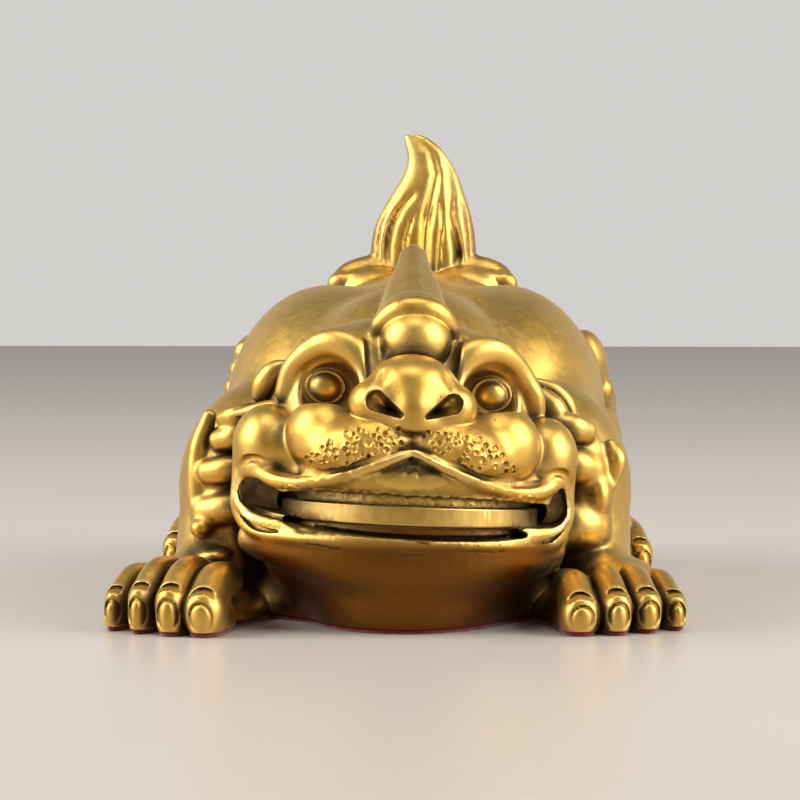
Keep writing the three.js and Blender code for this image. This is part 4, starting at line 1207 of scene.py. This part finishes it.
GOLD = (0.68, 0.43, 0.105, 1)
PALE = (0.80, 0.56, 0.19, 1)
WARM = (0.60, 0.355, 0.07, 1)
# The brown of the painted shade and painted dark reflection under the chin and in the mouth.
PAINTED_SHADE_BROWN = (0.17, 0.065, 0.010, 1)
PATINA = (0.11, 0.062, 0.017, 1)
DUST = (0.25, 0.175, 0.075, 1)
RED = (0.24, 0.014, 0.016, 1)
DARK_RED = (0.13, 0.005, 0.008, 1)
FLOOR_DARK = (0.42, 0.375, 0.33, 1)
FLOOR_LIGHT = (0.455, 0.41, 0.365, 1)
SPECKS_PER_METRE = 520.0


def brass(tree, where):
    """Warm brass, paler where rubbed, painted brown shade under the chin and in the mouth, dull in hollows, dark in
    nooks.
    """
    nook, hollow, proud, under = (attribute_of(tree, name) for name in ("nook", "hollow", "proud", "under"))
    broad = noise_of(tree, where, 0.018, 3)
    fine = noise_of(tree, where, 0.0022, 5, 0.6)
    brushed = noise_of(tree, where, 0.0006, 3, 0.6, (1, 1, 0.12))
    crossed = noise_of(tree, where, 0.0006, 3, 0.6, (0.1, 1, 1))
    bright = times(tree, ranged(tree, proud, 0.12, 0.55), ranged(tree, fine, 0.25, 0.6))
    dim = plus(tree, hollow, times(tree, fine, 0.25))
    deep = plus(tree, nook, times(tree, fine, 0.35))
    specks = add(tree, "ShaderNodeTexVoronoi", {"Vector": where, "Scale": SPECKS_PER_METRE, "Randomness": 1.0})
    pit = ranged(tree, specks.outputs["Distance"], 0.05, 0.16, 1.0, 0.0)
    pit = times(tree, pit, ranged(tree, noise_of(tree, where, 0.006, 2), 0.56, 0.66))
    colour = blended(tree, ranged(tree, broad, 0.35, 0.68), WARM, GOLD)
    # The share from under lays on the painted brown shade.
    for share, tint in ((bright, PALE), (ranged(tree, under, 0.1, 0.9), PAINTED_SHADE_BROWN), (ranged(tree, dim, 0.34, 0.95), DUST),
                        (ranged(tree, deep, 0.42, 0.95), PATINA), (times(tree, pit, 0.8), PATINA)):
        colour = blended(tree, share, colour, tint)
    rough = ranged(tree, fine, 0.2, 0.8, 0.34, 0.46)
    rough = plus(tree, rough, times(tree, ranged(tree, deep, 0.25, 0.8), 0.25))
    height = times(tree, brushed, 0.5)
    for layer, share in ((crossed, 0.4), (fine, 0.35), (pit, -2.2)):
        height = plus(tree, height, times(tree, layer, share))
    return {"Base Color": colour, "Metallic": 1.0, "Roughness": rough,
            "Normal": bump_of(tree, height, 0.35, 0.00012)}


def red_felt(tree, where):
    fibres = noise_of(tree, where, 0.0004, 4, 0.7)
    clumps = noise_of(tree, where, 0.004, 2)
    shade = plus(tree, times(tree, fibres, 0.7), times(tree, clumps, 0.3))
    return {"Base Color": blended(tree, ranged(tree, shade, 0.3, 0.7), DARK_RED, RED), "Roughness": 0.95,
            "Sheen Weight": 0.5, "Sheen Roughness": 0.5, "Specular IOR Level": 0.2,
            "Normal": bump_of(tree, fibres, 0.8, 0.0002)}


def pale_floor(tree, where):
    colour = blended(tree, noise_of(tree, where, 0.3, 3), FLOOR_DARK, FLOOR_LIGHT)
    return {"Base Color": colour, "Roughness": 0.34, "Specular IOR Level": 0.35}


# The stage.

FLOOR_BACK = 2.0
FLOOR_FRONT = -1.6
FLOOR_HALF = 2.4
# The soft lights: azimuth and elevation in degrees, distance, width and height, and power. Azimuth 0 is in
# front of the figure and 90 on the viewer's right.
SOFTBOXES = {
    "left_softbox": (-76, 30, 1.1, (0.8, 0.9), 16),
    "right_softbox": (74, 30, 1.1, (0.8, 0.9), 16),
    "top_softbox": (0, 78, 1.3, (0.8, 0.5), 5),
}
LIT = Vector((0, 0, 0.05))  # where the lights point
HORIZON = (0.64, 0.63, 0.615, 1)
OVERHEAD = (0.27, 0.265, 0.25, 1)
IN_FRONT = (0.26, 0.20, 0.13, 1)
CAMERA_AT = (0.03015, -0.70529, 0.0806)
CAMERA_DOWN = 2.74
CAMERA_LEFT = 2.7
LENS = 133.65
SENSOR = 36


def floor():
    mesh = bpy.data.meshes.new("floor")
    mesh.from_pydata([(-FLOOR_HALF, FLOOR_FRONT, 0), (FLOOR_HALF, FLOOR_FRONT, 0), (FLOOR_HALF, FLOOR_BACK, 0),
                      (-FLOOR_HALF, FLOOR_BACK, 0)], [], [(0, 1, 2, 3)])
    made = object_of("floor", mesh)
    mesh.materials.append(material_of("pale_floor", pale_floor))


def softbox(name, azimuth, elevation, distance, size, power):
    a, e = math.radians(azimuth), math.radians(elevation)
    way = Vector((math.sin(a) * math.cos(e), -math.cos(a) * math.cos(e), math.sin(e)))
    light = bpy.data.lights.new(name, "AREA")
    light.shape = "RECTANGLE"
    light.size, light.size_y = size
    light.energy = power
    made = object_of(name, light)
    made.location = LIT + way * distance
    made.rotation_euler = way.to_track_quat("Z", "Y").to_euler()


def surroundings():
    """A grey room, lighter towards the horizon than overhead, and dim in front of the figure."""
    world = bpy.data.worlds.new("studio")
    world.use_nodes = True
    tree = world.node_tree
    tree.nodes.clear()
    way = add(tree, "ShaderNodeTexCoord").outputs["Generated"]
    apart = add(tree, "ShaderNodeSeparateXYZ", {"Vector": way}).outputs
    colour = blended(tree, ranged(tree, apart["Z"], 0.12, 0.75), HORIZON, OVERHEAD)
    front = ranged(tree, times(tree, apart["Y"], -1.0), 0.78, 0.98)
    colour = blended(tree, front, colour, IN_FRONT)
    back = add(tree, "ShaderNodeBackground", {"Color": colour, "Strength": 1.0})
    add(tree, "ShaderNodeOutputWorld", {"Surface": back.outputs["Background"]})
    bpy.context.scene.world = world


def camera():
    data = bpy.data.cameras.new("camera")
    data.lens, data.sensor_width = LENS, SENSOR
    made = object_of("camera", data)
    made.location = CAMERA_AT
    made.rotation_euler = (math.radians(90 - CAMERA_DOWN), 0, math.radians(CAMERA_LEFT))
    bpy.context.scene.camera = made


casting = brass_casting()
casting.data.materials.append(material_of("brass", brass))
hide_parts("pixiu")
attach(casting, "root")

felt = felt_pad()
felt.data.materials.append(material_of("red_felt", red_felt))
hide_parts("felt_pad")
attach(felt, "root")

floor()
for name, values in SOFTBOXES.items():
    softbox(name, *values)
surroundings()
camera()
bpy.context.scene.view_settings.view_transform = "Standard"
